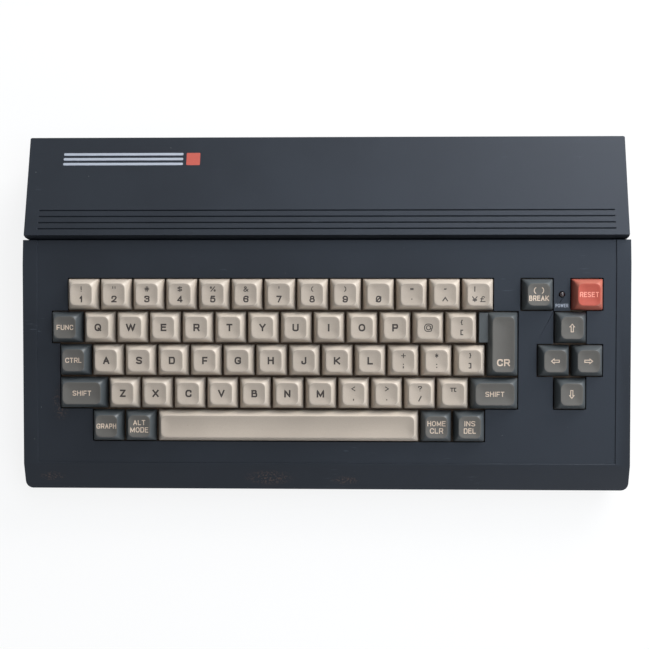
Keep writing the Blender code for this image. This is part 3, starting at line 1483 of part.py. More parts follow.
def make_joystick_ports():
    """Two D-shaped ports in one housing, each with a well round its pins."""
    rear = INNER_END_Y - CLEARANCE
    length = JOYSTICK_SPREAD + PORT_LENGTH
    low = SOCKET_BASE
    block = place_piece(
        "joystick_ports",
        boxes("joystick_ports", [(
            (length, PORT_BODY_DEPTH, SOCKET_HEIGHT + PORT_BLOCK_HEIGHT / 2),
            (
                JOYSTICK_X,
                rear - PORT_BODY_DEPTH / 2,
                low + (SOCKET_HEIGHT + PORT_BLOCK_HEIGHT / 2) / 2,
            ),
        )]),
        socket_black(),
    )
    sides = [JOYSTICK_X - JOYSTICK_SPREAD / 2, JOYSTICK_X + JOYSTICK_SPREAD / 2]
    reach = LOWER_END_Y - rear + PORT_BODY_DEPTH / 4
    collars = [
        ((PORT_LENGTH, reach, PORT_HEIGHT), (x, LOWER_END_Y - reach / 2, SOCKET_Z)) for x in sides
    ]
    join(block, place_cutter("port_collars", boxes("port_collars", collars)))
    half, up = PORT_WELL_LENGTH / 2, PORT_WELL_HEIGHT / 2
    outline = [
        (-half + PORT_WELL_TAPER, -up),
        (half - PORT_WELL_TAPER, -up),
        (half, up),
        (-half, up),
    ]
    bm = bmesh.new()
    for x in sides:
        matrix = (
            Matrix.Translation((x, LOWER_END_Y, SOCKET_Z))
            @ Matrix.Rotation(math.pi / 2, 4, "X")
        )
        well = outline_mesh("port_well", outline, PORT_WELL_DEPTH * 2, matrix)
        bm.from_mesh(well)
        bpy.data.meshes.remove(well)
    cut(block, place_cutter("port_wells", mesh_from(bm, "port_wells")))


def make_cartridge_connector():
    """The edge connector that a cartridge pushes into, its mouth towards the slot."""
    rear_x = CHAMBER_X - CLEARANCE
    body = place_piece(
        "cartridge_connector",
        boxes("cartridge_connector", [(
            (CONNECTOR_DEPTH, CONNECTOR_LENGTH, CONNECTOR_HEIGHT),
            (
                rear_x - CONNECTOR_DEPTH / 2,
                SLOT_MIDDLE_Y,
                SOCKET_BASE + CONNECTOR_HEIGHT / 2,
            ),
        )]),
        socket_black(),
    )
    mouth = boxes("connector_mouth", [(
        (CONNECTOR_MOUTH_DEPTH * 2, CONNECTOR_MOUTH_LENGTH, CONNECTOR_MOUTH_HEIGHT),
        (rear_x, SLOT_MIDDLE_Y, SOCKET_BASE + CONNECTOR_HEIGHT / 2),
    )])
    cut(body, place_cutter("connector_mouth", mouth))


def make_cartridge_door():
    """The sprung flap in the cartridge slot, with a pin at each end of its upper edge."""
    length = SLOT_LENGTH - DOOR_GAP * 2
    height = SLOT_HEIGHT - DOOR_GAP * 2
    door = place_piece(
        "cartridge_door",
        boxes("cartridge_door", [(
            (DOOR_THICKNESS, length, height),
            (0, 0, DOOR_AXIS_DROP - height / 2),
        )]),
        dark_case(),
    )
    door.location = (DOOR_X, SLOT_MIDDLE_Y, DOOR_AXIS_Z)
    pin_length = SLOT_LENGTH + (DOOR_PIN_LENGTH - CLEARANCE) * 2
    pin = rods("door_pins", [(DOOR_PIN_RADIUS, pin_length, (0, 0, 0), "Y", SMALL_ROUND_STEPS)])
    tool = place_cutter("door_pins", pin)
    tool.location = door.location
    join(door, tool)


def build():
    global PIECES, CUTTERS, KEY_PLANE
    clear_scene()
    PIECES = make_collection(PART_NAMES)
    CUTTERS = make_collection("cutters_and_guides")
    KEY_PLANE = make_key_plane()
    make_upper_case()
    make_lower_case()
    make_keyboard_frame()
    make_keyboard_board()
    make_key_bank("number_row_keys", 0.0, 0, NUMBER_ROW_KEYS)
    make_key_bank("lower_row_keys", LOWER_ROW_START_SHARE, 3, LOWER_ROW_KEYS)
    make_single_keys()
    make_space_key()
    make_return_key()
    make_power_lamp()
    make_main_board()
    make_levers()
    make_modulator()
    make_power_jack()
    make_din_socket("video_socket", VIDEO_X)
    make_din_socket("printer_socket", PRINTER_X)
    make_cassette_jacks()
    make_joystick_ports()
    make_cartridge_connector()
    make_cartridge_door()
    make_feet()


build()
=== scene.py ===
"""Dresses a vintage home computer: every visible piece of it, its finishes and the stage for its picture.

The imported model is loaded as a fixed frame, and each piece here rides on one of its bodies. The file is
laid out as an add-on and run as a script. Metres, +Z up, +X to the typist's right, +Y to the rear.
"""

import json
import math
from functools import cache

import bmesh
import bpy
from bpy.props import FloatProperty, FloatVectorProperty, PointerProperty
from mathutils import Matrix, Vector
from mathutils.geometry import delaunay_2d_cdt, intersect_point_tri_2d


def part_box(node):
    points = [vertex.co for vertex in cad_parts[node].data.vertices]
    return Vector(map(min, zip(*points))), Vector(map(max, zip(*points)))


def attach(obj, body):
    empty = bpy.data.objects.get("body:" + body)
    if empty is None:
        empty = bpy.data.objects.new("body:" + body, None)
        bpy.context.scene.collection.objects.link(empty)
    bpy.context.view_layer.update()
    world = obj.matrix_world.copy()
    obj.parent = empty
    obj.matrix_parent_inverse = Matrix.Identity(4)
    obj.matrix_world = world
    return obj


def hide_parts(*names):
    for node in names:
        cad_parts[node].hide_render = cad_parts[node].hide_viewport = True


bl_info = {
    "name": "Vintage home computer",
    "version": (1, 0, 0),
    "blender": (4, 5, 0),
    "location": "3D View > Sidebar > Home computer",
    "description": "Models the visible pieces of a vintage home computer round its packed model",
    "category": "Object",
}

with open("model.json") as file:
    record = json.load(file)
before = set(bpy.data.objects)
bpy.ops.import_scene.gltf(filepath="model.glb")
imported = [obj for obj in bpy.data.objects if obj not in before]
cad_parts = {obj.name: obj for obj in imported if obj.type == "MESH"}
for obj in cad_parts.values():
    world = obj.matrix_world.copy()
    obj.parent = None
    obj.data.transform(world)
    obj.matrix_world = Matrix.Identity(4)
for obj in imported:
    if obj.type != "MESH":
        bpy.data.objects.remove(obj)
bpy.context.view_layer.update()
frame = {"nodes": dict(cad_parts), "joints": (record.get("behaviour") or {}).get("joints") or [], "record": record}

MM = 0.001

# The camera that fits the photograph, turned in degrees, with its focal length in the photograph's pixels
CAMERA_PLACE = (17.87 * MM, -62.69 * MM, 689.97 * MM)
CAMERA_TURN = (4.765, 1.563, 0.191)
FOCAL_PIXELS = 1132.8
PHOTO_WIDTH = 649
SENSOR_WIDTH = 36.0
FLOOR_SIZE = 8.0

# Name, place, size, power and colour of each lamp
LAMPS = (
    ("window_light", (0.75, 1.0, 0.58), (0.9, 0.7), 24.0, (1.0, 0.985, 0.96)),
    ("sky_light", (0.5, 0.25, 1.25), (1.8, 0.6), 15.0, (0.84, 0.93, 1.0)),
    ("front_fill", (0.9, -1.2, 0.6), (1.0, 1.0), 7.0, (1.0, 0.97, 0.94)),
)
WHITE = (1.0, 1.0, 1.0)
ROOM_DIM, ROOM_BRIGHT = (0.13, 0.125, 0.12), (0.29, 0.34, 0.41)
BRIGHT_SIDE = (0.86, 0.4, 0.3)

# The key plane lies in the sunken panel, and the caps stand square to it
PRESS_AXIS = next(joint["axis"] for joint in frame["joints"] if joint["name"] == "key_space_press")
DECK_TILT = math.asin(PRESS_AXIS[1])
PANEL_REAR = (0.0, 26.668 * MM, 39.232 * MM)
KEY_PLANE = Matrix.Translation(PANEL_REAR) @ Matrix.Rotation(DECK_TILT, 4, "X")
CAP_BASE = 18.1 * MM
ROW_LOW, ROW_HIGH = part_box("number_row_keys")
NUMBER_KEYS = 13
KEY_PITCH = (ROW_HIGH.x - ROW_LOW.x - CAP_BASE) / (NUMBER_KEYS - 1)
KEY_GAP = KEY_PITCH - CAP_BASE
FIRST_KEY_X = ROW_LOW.x + CAP_BASE / 2
FIRST_ROW_DISTANCE = 17.6 * MM

# The hood falls from its ridge to the rear edge
HOOD_RIDGE = Vector((0.0, 42.6 * MM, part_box("upper_case")[1].z))
HOOD_TILT = -math.atan2(15.5, 61.2)
HOOD_PLANE = Matrix.Translation(HOOD_RIDGE) @ Matrix.Rotation(HOOD_TILT, 4, "X")

# Rear sockets and the screws under the case, which stand in the tray
SOCKET_Z = 18.3 * MM
SOCKET_FACE_Y = 100.5 * MM
CONTACT_CIRCLE = 3.5 * MM
PIN_PITCH = 2.77 * MM
SCREW_PLACES = ((-155.8, 60.8), (-11.9, 60.8), (103.3, 60.8), (-149.0, -91.8), (0.0, -91.8), (149.0, -91.8))
SCREW_HEAD_Z = 8.3 * MM


def from_screen(red, green, blue):
    """A colour as measured on a screen, from 0 to 255, made linear."""
    def linear(value):
        share = value / 255
        return share / 12.92 if share <= 0.04045 else ((share + 0.055) / 1.055) ** 2.4
    return tuple(linear(value) for value in (red, green, blue))


def size(name, text, millimetres):
    return FloatProperty(name=name, description=text, default=millimetres * MM, unit="LENGTH", precision=5)


def tone(name, text, colour):
    return FloatVectorProperty(
        name=name, description=text, default=from_screen(*colour), subtype="COLOR", min=0.0, max=1.0, size=3
    )


class HomeComputerSizes(bpy.types.PropertyGroup):
    """Sizes that may be changed before the pieces are made."""

    edge_round: size("Case edge", "Width of the rounded edges of the case", 0.25)
    cap_height: size("Cap height", "Height of a key cap's rim over the panel", 7.5)
    cap_skirt: size("Cap skirt", "How far a key cap reaches below the panel", 1.5)
    cap_top_inset: size("Top inset", "How far a cap draws in at its rim", 2.7)
    dish_depth: size("Dish depth", "Depth of the hollow in a key cap's top", 0.8)
    rim_width: size("Rim width", "Width of the flat rim round a cap's dish", 0.25)


class HomeComputerColours(bpy.types.PropertyGroup):
    """Colours that may be changed before the pieces are made."""

    case: tone("Case", "Blue-black plastic of both case halves", (20, 23, 27))
    # Each kind of cap is one plastic with a flank colour and a dish colour, set apart as painted light and shade:
    # the cream and red dishes are painted darker than their flanks, and the dark flanks darker and bluer than
    # their dishes, a painted reflection
    cream: tone("Cream caps", "Plastic of the letter, number and space caps", (184, 172, 159))
    cream_dish: tone("Cream dishes", "Matt tops of the cream caps", (167, 154, 141))
    dark: tone("Dark caps", "Plastic of the shift, cursor and editing caps", (72, 76, 78))
    dark_dish: tone("Dark dishes", "Matt tops of the dark caps", (86, 83, 79))
    red: tone("Reset cap", "Plastic of the reset cap", (168, 95, 80))
    red_dish: tone("Reset dish", "Matt top of the reset cap", (168, 75, 60))
    brown_ink: tone("Brown ink", "Legends on the cream caps", (50, 43, 40))
    beige_ink: tone("Beige ink", "Legends on the dark caps", (192, 172, 154))
    pink_ink: tone("Pink ink", "Legend on the reset cap", (232, 150, 132))
    white_paint: tone("White paint", "Printing on the case", (156, 160, 170))
    orange_paint: tone("Orange paint", "The short bar printed on the hood", (168, 78, 66))
    board: tone("Circuit board", "Solder mask of the circuit boards", (24, 84, 44))


def sizes():
    return bpy.context.scene.home_computer_sizes


def colours():
    return bpy.context.scene.home_computer_colours


# Materials


class Wire:
    """One value inside a node tree. Sums written on it add their Math nodes."""

    def __init__(self, nodes, socket):
        self.nodes = nodes
        self.socket = socket

    def __add__(self, other):
        return self.nodes.sum("ADD", self, other)

    def __rsub__(self, other):
        return self.nodes.sum("SUBTRACT", other, self)

    def __mul__(self, other):
        return self.nodes.sum("MULTIPLY", self, other)

    def over(self, low, high):
        """Rises smoothly from 0 at low to 1 at high."""
        return self.nodes.add(
            "ShaderNodeMapRange",
            {"interpolation_type": "SMOOTHSTEP"},
            {"Value": self, "From Min": low, "From Max": high},
        )


class Nodes:
    """A node tree that each call adds to."""

    def __init__(self, tree):
        self.tree = tree

    def feed(self, socket, value):
        if isinstance(value, Wire):
            self.tree.links.new(value.socket, socket)
        else:
            socket.default_value = value

    def add(self, kind, settings, values, output=0):
        """Adds a node, makes its settings, then sets or links its sockets."""
        node = self.tree.nodes.new(kind)
        for key, value in settings.items():
            setattr(node, key, value)
        for key, value in values.items():
            self.feed(node.inputs[key], value)
        return Wire(self, node.outputs[output])

    def sum(self, operation, first, second):
        return self.add("ShaderNodeMath", {"operation": operation}, {0: first, 1: second})

    def vector(self, operation, first, second):
        output = 1 if operation in ("DOT_PRODUCT", "LENGTH") else 0
        return self.add("ShaderNodeVectorMath", {"operation": operation}, {0: first, 1: second}, output)

    def tint(self, share, first, second):
        """The first colour, turned to the second by a share."""
        def full(colour):
            return colour if isinstance(colour, Wire) else (*colour, 1.0)
        values = {0: share, 6: full(first), 7: full(second)}
        return self.add("ShaderNodeMix", {"data_type": "RGBA"}, values, 2)

    def seen(self):
        """1 for what the camera sees, be it straight, in something glossy or through something clear."""
        camera, glossy, clear = [
            self.add("ShaderNodeLightPath", {}, {}, f"Is {ray} Ray")
            for ray in ("Camera", "Glossy", "Transmission")
        ]
        return self.sum("MAXIMUM", self.sum("MAXIMUM", camera, glossy), clear)


class Recipe(Nodes):
    """The node tree of one material, with a Principled shader that already shows."""

    def __init__(self, name, constants):
        self.material = bpy.data.materials.new(name)
        self.material.use_nodes = True
        super().__init__(self.material.node_tree)
        self.shader = self.tree.nodes["Principled BSDF"]
        self.place = self.add("ShaderNodeTexCoord", {}, {}, "Object")
        for socket, value in constants.items():
            self.shader.inputs[socket].default_value = value

    def noise(self, grain, detail=2.0, rough=0.5, stretch=None):
        """Soft noise whose lumps are about one grain across, longer along X where it is stretched."""
        place = self.vector("MULTIPLY", self.place, (stretch, 1.0, 1.0)) if stretch else self.place
        values = {"Vector": place, "Scale": 1 / grain, "Detail": detail, "Roughness": rough}
        return self.add("ShaderNodeTexNoise", {}, values)

    def specks(self, spacing, share):
        """Round specks, one to each cell of the spacing, as wide as their share of it."""
        values = {"Vector": self.place, "Scale": 1 / spacing}
        distance = self.add("ShaderNodeTexVoronoi", {"feature": "F1"}, values, "Distance")
        return 1 - distance.over(share * 0.6, share)

    def spot(self, centre, reach):
        """1 at the centre, falling to 0 at the reach along each axis."""
        share = self.vector("DIVIDE", self.vector("SUBTRACT", self.place, centre), reach)
        return 1 - self.vector("LENGTH", share, (0, 0, 0)).over(0.2, 1.0)

    def finished(self, colour, roughness, height=None, distance=0.0, strength=0.5):
        """Links the colour, the roughness and the bump to the shader, and gives the material."""
        inputs = self.shader.inputs
        self.feed(inputs["Base Color"], colour)
        self.feed(inputs["Roughness"], roughness)
        if height is not None:
            values = {"Height": height, "Distance": distance, "Strength": strength}
            self.feed(inputs["Normal"], self.add("ShaderNodeBump", {}, values))
        return self.material


def scaled(colour, factor):
    return tuple(min(channel * factor, 1.0) for channel in colour)


# Centre and reach of each place where the case is rubbed
RUBBED_PLACES = (
    ((-0.1545, -0.054, 0.03), (0.006, 0.012, 0.03)),
    ((-0.033, -0.0972, 0.025), (0.017, 0.0055, 0.02)),
    ((-0.160, -0.0968, 0.025), (0.009, 0.0035, 0.02)),
    ((0.012, -0.0985, 0.022), (0.010, 0.003, 0.02)),
)


@cache
def case_plastic():
    """Fine moulded texture, faint mottling, dust, light scuffs and brown rubbed marks."""
    colour = tuple(colours().case)
    recipe = Recipe("case_plastic", {"Specular IOR Level": 0.3, "Specular Tint": (0.75, 0.83, 1.0, 1.0)})
    mottle = recipe.noise(45 * MM, 3.0)
    grain = recipe.noise(0.35 * MM, 1.0)
    base = recipe.tint(mottle.over(0.3, 0.75), scaled(colour, 0.82), scaled(colour, 1.2))
    base = recipe.tint(grain.over(0.35, 0.8) * 0.3, base, scaled(colour, 2.0))
    dust = recipe.specks(9 * MM, 0.03) * recipe.noise(14 * MM, 1.0).over(0.5, 0.62)
    base = recipe.tint(dust * 0.5, base, from_screen(150, 152, 150))
    streaks = recipe.noise(1.1 * MM, stretch=0.12).over(0.64, 0.78)
    scuffs = streaks * recipe.noise(30 * MM).over(0.55, 0.72)
    base = recipe.tint(scuffs * 0.25, base, from_screen(96, 104, 114))
    rubbed = recipe.spot(*RUBBED_PLACES[0])
    for centre, reach in RUBBED_PLACES[1:]:
        rubbed = recipe.sum("MAXIMUM", rubbed, recipe.spot(centre, reach))
    rubbed = recipe.sum("MINIMUM", rubbed, recipe.noise(1.1 * MM).over(0.52, 0.62))
    base = recipe.tint(rubbed * 0.75, base, from_screen(70, 56, 49))
    return recipe.finished(base, mottle * 0.1 + grain * 0.12 + scuffs * 0.1 + 0.36, grain, 0.05 * MM)


@cache
def cap_plastic(name, colour, shade_and_dirt, gloss):
    """Cap plastic: fine speckle, a warmer cast from key to key, dirt specks and painted shade low on the flanks.
    """
    recipe = Recipe(name, {"Roughness": 0.45, "Specular IOR Level": 0.3})
    upward = (0.0, -math.sin(DECK_TILT), math.cos(DECK_TILT))
    height = recipe.vector("DOT_PRODUCT", recipe.vector("SUBTRACT", recipe.place, PANEL_REAR), upward)
    cast = recipe.noise(38 * MM, 1.0).over(0.3, 0.7)
    base = recipe.tint(cast, scaled(colour, 0.94), scaled(colour, 1.05))
    speckle = recipe.noise(0.5 * MM, rough=0.7)
    base = recipe.tint(speckle.over(0.4, 0.75) * 0.25, base, scaled(colour, 0.72))
    blotches = recipe.noise(4 * MM)
    # Painted shade: the flanks darken in blotches towards the panel, where the keys shade each other
    low = 1 - height.over(-1.2 * MM, 4.5 * MM)
    base = recipe.tint(low * (blotches * 0.5 + 0.25), base, shade_and_dirt)
    specks = recipe.specks(7 * MM, 0.035) * recipe.noise(11 * MM, 1.0).over(0.55, 0.65)
    base = recipe.tint(specks * 0.5, base, scaled(shade_and_dirt, 0.6))
    return recipe.finished(base, blotches * 0.16 + speckle * 0.1 + (gloss - 0.13), speckle, 0.03 * MM)


# Colour of the painted shade low on each kind of cap's flanks; a darker copy of it colours the dirt specks
LOW_SHADE_AND_DIRT = {"cream": (128, 110, 94), "dark": (52, 50, 48), "red": (150, 40, 34)}
FLANK_GLOSS, DISH_GLOSS = 0.36, 0.58


def cap_pair(kind):
    """Smooth plastic for a cap's flanks and rim, and the same plastic moulded matt for its dish, each in its own
    colour, which paints in light and shade.
    """
    shade_and_dirt = from_screen(*LOW_SHADE_AND_DIRT[kind])
    return [
        cap_plastic(f"{kind}_{part}_plastic", tuple(getattr(colours(), setting)), shade_and_dirt, gloss)
        for part, setting, gloss in (("flank", kind, FLANK_GLOSS), ("dish", kind + "_dish", DISH_GLOSS))
    ]


@cache
def ink(name, setting):
    """Printed ink, slightly worn away in specks."""
    colour = tuple(getattr(colours(), setting))
    recipe = Recipe(name, {"Roughness": 0.55, "Specular IOR Level": 0.3})
    worn = recipe.noise(0.6 * MM).over(0.55, 0.75)
    return recipe.finished(recipe.tint(worn * 0.35, colour, scaled(colour, 1.5)), worn * 0.15 + 0.45)


@cache
def plain_plastic(name, screen_colour, roughness, grain=0.4):
    """A moulded plastic or rubber with grain in its colour, gloss and surface."""
    colour = from_screen(*screen_colour)
    recipe = Recipe(name, {"Roughness": roughness, "Specular IOR Level": 0.4})
    mottle = recipe.noise(9 * MM, 3.0)
    grains = recipe.noise(grain * MM, 1.0)
    base = recipe.tint(mottle.over(0.3, 0.7), scaled(colour, 0.75), scaled(colour, 1.25))
    base = recipe.tint(grains.over(0.5, 0.8) * 0.25, base, scaled(colour, 2.2))
    return recipe.finished(base, mottle * 0.14 + grains * 0.1 + (roughness - 0.12), grains, 0.04 * MM, 0.6)


@cache
def metal(name, screen_colour, roughness):
    """Plated metal with fine drawn streaks and dull, slightly darkened patches."""
    colour = from_screen(*screen_colour)
    recipe = Recipe(name, {"Roughness": roughness, "Metallic": 1.0})
    dull = recipe.noise(5 * MM, 3.0)
    drawn = recipe.noise(0.25 * MM, stretch=0.08)
    base = recipe.tint(dull.over(0.45, 0.75) * 0.6, colour, scaled(colour, 0.62))
    base = recipe.tint(drawn * 0.2, base, scaled(colour, 1.15))
    return recipe.finished(base, dull * 0.25 + drawn * 0.08 + (roughness - 0.12), drawn, 0.01 * MM)


def solder_mask(name, roughness, offset, spacing, mortar, width, row):
    """Green mask over copper lines, with tinned pads: the recipe, its lines, its pads and its colour."""
    green, black = tuple(colours().board), (0, 0, 0, 1)
    recipe = Recipe(name, {"Roughness": roughness})
    lines = recipe.add(
        "ShaderNodeTexBrick",
        {"offset": offset},
        {
            "Vector": recipe.place, "Scale": 1 / spacing, "Mortar Size": mortar, "Brick Width": width,
            "Row Height": row, "Color1": black, "Color2": black, "Mortar": (1, 1, 1, 1),
        },
    )
    pads = recipe.specks(2.54 * MM, 0.22)
    base = recipe.tint(recipe.noise(12 * MM).over(0.3, 0.7), scaled(green, 0.8), scaled(green, 1.2))
    base = recipe.tint(lines * 0.55, base, scaled(green, 2.1))
    return recipe, lines, pads, recipe.tint(pads * 0.8, base, from_screen(176, 172, 160))


@cache
def keyboard_board_finish():
    recipe, lines, pads, base = solder_mask("circuit_board_finish", 0.35, 0.5, 5 * MM, 0.06, 0.9, 0.28)
    return recipe.finished(base, pads * 0.1 + lines * 0.05 + 0.3, lines, 0.03 * MM, 0.7)


BOARD_THICKNESS = 1.75 * MM


@cache
def main_board_finish():
    """The board's own mask, with everything that stands on it in chip plastic."""
    recipe, lines, pads, base = solder_mask("main_board_finish", 0.4, 0.37, 7 * MM, 0.05, 1.4, 0.22)
    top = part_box("main_circuit_board")[0].z + BOARD_THICKNESS
    raised = recipe.vector("DOT_PRODUCT", recipe.place, (0.0, 0.0, 1.0)).over(top, top + 0.05 * MM)
    chip = recipe.tint(recipe.noise(0.4 * MM), from_screen(34, 34, 36), from_screen(52, 52, 54))
    base = recipe.tint(raised, base, chip)
    return recipe.finished(base, raised * 0.2 + pads * 0.1 + 0.3, lines * (1 - raised), 0.03 * MM, 0.7)


@cache
def lamp_finish():
    """Deep red lens, unlit, clouded darker and lighter."""
    recipe = Recipe("lamp_lens_finish", {"Roughness": 0.12})
    cloud = recipe.noise(0.8 * MM)
    base = recipe.tint(cloud.over(0.3, 0.7), from_screen(24, 14, 18), from_screen(40, 18, 20))
    return recipe.finished(base, cloud * 0.1 + 0.08)


# Name, screen colour, roughness and grain of the plain plastics, then of the metals
SOCKET_BLACK = ("socket_plastic_finish", (26, 26, 28), 0.42)
# The keyboard frame's light brown is painted bounce light: the light that the cream caps throw into the gaps
# between them
FRAME_BOUNCE_BROWN = ("keyboard_frame_finish", (112, 92, 76), 0.6)
FOOT_RUBBER = ("foot_rubber_finish", (34, 34, 34), 0.85, 0.7)
INSULATOR = ("insulator_finish", (214, 208, 192), 0.4)
TIN_PLATE = ("tin_plate_finish", (186, 188, 186), 0.36)
BRASS = ("brass_pin_finish", (212, 178, 108), 0.3)
STEEL = ("zinc_screw_finish", (172, 172, 168), 0.34)


# Modelling


def choose(*objects):
    """Leaves edit mode and selects these objects alone, the first of them active."""
    if bpy.context.object and bpy.context.object.mode != "OBJECT":
        bpy.ops.object.mode_set(mode="OBJECT")
    bpy.ops.object.select_all(action="DESELECT")
    for obj in objects:
        obj.select_set(True)
    if objects:
        bpy.context.view_layer.objects.active = objects[0]


def edit(obj, whole=False):
    choose(obj)
    bpy.ops.object.mode_set(mode="EDIT")
    if whole:
        bpy.ops.mesh.select_all(action="SELECT")


def leave_edit():
    bpy.ops.object.mode_set(mode="OBJECT")


def select(kind, test):
    """In edit mode, selects the faces or edges that pass the test, and no others."""
    mesh = bpy.context.object.data
    bpy.context.tool_settings.mesh_select_mode = (False, kind == "edges", kind == "faces")
    shape = bmesh.from_edit_mesh(mesh)
    parts = getattr(shape, kind)
    for part in parts:
        part.select_set(False)
    for part in parts:
        if test(part):
            part.select_set(True)
    bmesh.update_edit_mesh(mesh)


def apply_modifier(obj, kind, **settings):
    choose(obj)
    modifier = obj.modifiers.new(kind.lower(), kind)
    for key, value in settings.items():
        setattr(modifier, key, value)
    bpy.ops.object.modifier_apply(modifier=modifier.name)


def round_edges(obj, width, segments=2, angle=30):
    apply_modifier(
        obj, "BEVEL", width=width, segments=segments, limit_method="ANGLE",
        angle_limit=math.radians(angle), use_clamp_overlap=False,
    )


def smooth(obj, angle=35):
    choose(obj)
    bpy.ops.object.shade_smooth_by_angle(angle=math.radians(angle))


def settle(obj, matrix=None):
    """Puts an object's place into its mesh, so that the object itself sits at the origin."""
    bpy.context.view_layer.update()
    placed = obj.matrix_world.copy()
    obj.data.transform(matrix @ placed if matrix else placed)
    obj.matrix_world = Matrix.Identity(4)


def block(sides, centre):
    """A box, its place in its own mesh."""
    choose()
    bpy.ops.mesh.primitive_cube_add(size=1.0, location=centre)
    made = bpy.context.object
    made.scale = sides
    settle(made)
    return made


def coat(obj, material):
    obj.data.materials.clear()
    obj.data.materials.append(material)


def joined(name, objects):
    if len(objects) > 1:
        choose(*objects)
        bpy.ops.object.join()
    obj = objects[0]
    obj.name = obj.data.name = name
    return obj


def copied(obj, name, matrix=None):
    """A copy with its own mesh."""
    twin = obj.copy()
    twin.data = obj.data.copy()
    twin.name = twin.data.name = name
    bpy.context.scene.collection.objects.link(twin)
    if matrix:
        twin.data.transform(matrix)
    return twin


def rides(obj, body, slot, *nodes):
    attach(obj, body)
    if nodes:
        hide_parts(*nodes)


def discard(obj):
    bpy.data.objects.remove(obj, do_unlink=True)


def body_of(node):
    return next(body for body, nodes in frame["record"]["behaviour"]["bodies"].items() if node in nodes)


LARGE_AREA = 1e-4
LEVEL_REACH = 0.1 * MM
PANEL_SIDE, PANEL_FRONT, PANEL_BACK = 160 * MM, -112 * MM, -3 * MM


def large_planes(mesh):
    """The planes of a mesh that hold more than a square centimetre of it, as normal and distance."""
    areas = {}
    for face in mesh.polygons:
        distance = face.normal.dot(face.center)
        key = (*(round(part, 3) for part in face.normal), round(distance, 5))
        total, normal, _ = areas.get(key, (0.0, face.normal.copy(), distance))
        areas[key] = (total + face.area, normal, distance)
    return [(normal, distance) for total, normal, distance in areas.values() if total > LARGE_AREA]


def gap_to(plane, place):
    return plane[0].dot(place) - plane[1]


def drop(vertex, plane):
    vertex.co -= plane[0] * gap_to(plane, vertex.co)


def flattened(obj, planes, reach):
    """Puts every corner that merging moved back on the large flat faces round it."""
    for _ in range(2):
        for vertex in obj.data.vertices:
            for plane in planes:
                if abs(gap_to(plane, vertex.co)) < reach:
                    drop(vertex, plane)


def levelled(obj, planes):
    """Puts the corners of each wide flat face, which rounding can lift a little, back on its plane."""
    moves = [
        (corner, plane)
        for face in obj.data.polygons if face.area > LARGE_AREA / 10
        for plane in planes
        if face.normal.dot(plane[0]) > 0.999 and abs(gap_to(plane, face.center)) < LEVEL_REACH
        for corner in face.vertices
    ]
    for corner, plane in moves:
        drop(obj.data.vertices[corner], plane)


def pressed(obj, planes):
    """Brings what rounding lifted over the key panel back down to it."""
    inverse = KEY_PLANE.inverted()
    upward = KEY_PLANE.to_3x3() @ Vector((0.0, 0.0, 1.0))
    panel = next(
        plane for plane in planes
        if plane[0].dot(upward) > 0.9999 and abs(gap_to(plane, KEY_PLANE.translation)) < LEVEL_REACH
    )
    for vertex in obj.data.vertices:
        place = inverse @ vertex.co
        inside = abs(place.x) < PANEL_SIDE and PANEL_FRONT < place.y < PANEL_BACK
        if inside and gap_to(panel, vertex.co) > 0:
            drop(vertex, panel)


def refined(node, name, material, slot, width, segments=2, angle=30, merge=0.02):
    """A node's own shape with its loose triangles merged, its faces made whole and its edges rounded."""
    obj = copied(frame["nodes"][node], name)
    obj.parent = None
    for key in list(obj.keys()):
        del obj[key]
    coat(obj, material)
    planes = large_planes(obj.data)
    edit(obj, whole=True)
    bpy.ops.mesh.remove_doubles(threshold=merge * MM)
    leave_edit()
    flattened(obj, planes, merge * 1.1 * MM)
    edit(obj, whole=True)
    bpy.ops.mesh.dissolve_limited(angle_limit=math.radians(1.0))
    leave_edit()
    round_edges(obj, width * MM, segments, angle)
    levelled(obj, planes)
    if node == "upper_case":
        pressed(obj, planes)
    smooth(obj)
    apply_modifier(obj, "WEIGHTED_NORMAL", keep_sharp=True)
    rides(obj, body_of(node), slot, node)
    return obj


def add_outline(width, depth, radius, height, steps=5):
    """A flat rounded rectangle, added to what is being edited or as a new object."""
    bpy.ops.mesh.primitive_plane_add(size=1.0, location=(0.0, 0.0, height))
    if bpy.context.object.mode != "EDIT":
        bpy.ops.object.mode_set(mode="EDIT")
    bpy.ops.transform.resize(value=(width, depth, 1.0), center_override=(0.0, 0.0, height))
    bpy.ops.mesh.bevel(offset=radius, offset_type="OFFSET", segments=steps, affect="VERTICES")


class FaceRings:
    """Draws a selected face in or out ring by ring, as wide, deep and high as each ring asks."""

    def __init__(self, width, depth, height):
        self.width, self.depth, self.height = width, depth, height

    def ring(self, width, depth, height):
        bpy.ops.mesh.extrude_region_move(TRANSFORM_OT_translate={"value": (0.0, 0.0, height - self.height)})
        bpy.ops.transform.resize(
            value=(width / self.width, depth / self.depth, 1.0), center_override=(0.0, 0.0, height)
        )
        self.width, self.depth, self.height = width, depth, height


def middle_x(node):
    low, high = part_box(node)
    return (low.x + high.x) / 2


def ring(name, inner, outer, thick):
    """A flat ring with rounded edges that faces the rear, round the origin, in millimetres."""
    choose()
    bpy.ops.mesh.primitive_torus_add(
        major_radius=(inner + outer) / 2 * MM, minor_radius=(outer - inner) / 2 * MM,
        major_segments=32, minor_segments=12, location=(0.0, 0.0, thick / 2 * MM),
    )
    made = bpy.context.object
    made.name = name
    made.scale = (1.0, 1.0, thick / (outer - inner))
    settle(made, Matrix.Rotation(-math.pi / 2, 4, "X"))
    smooth(made, 60)
    return made


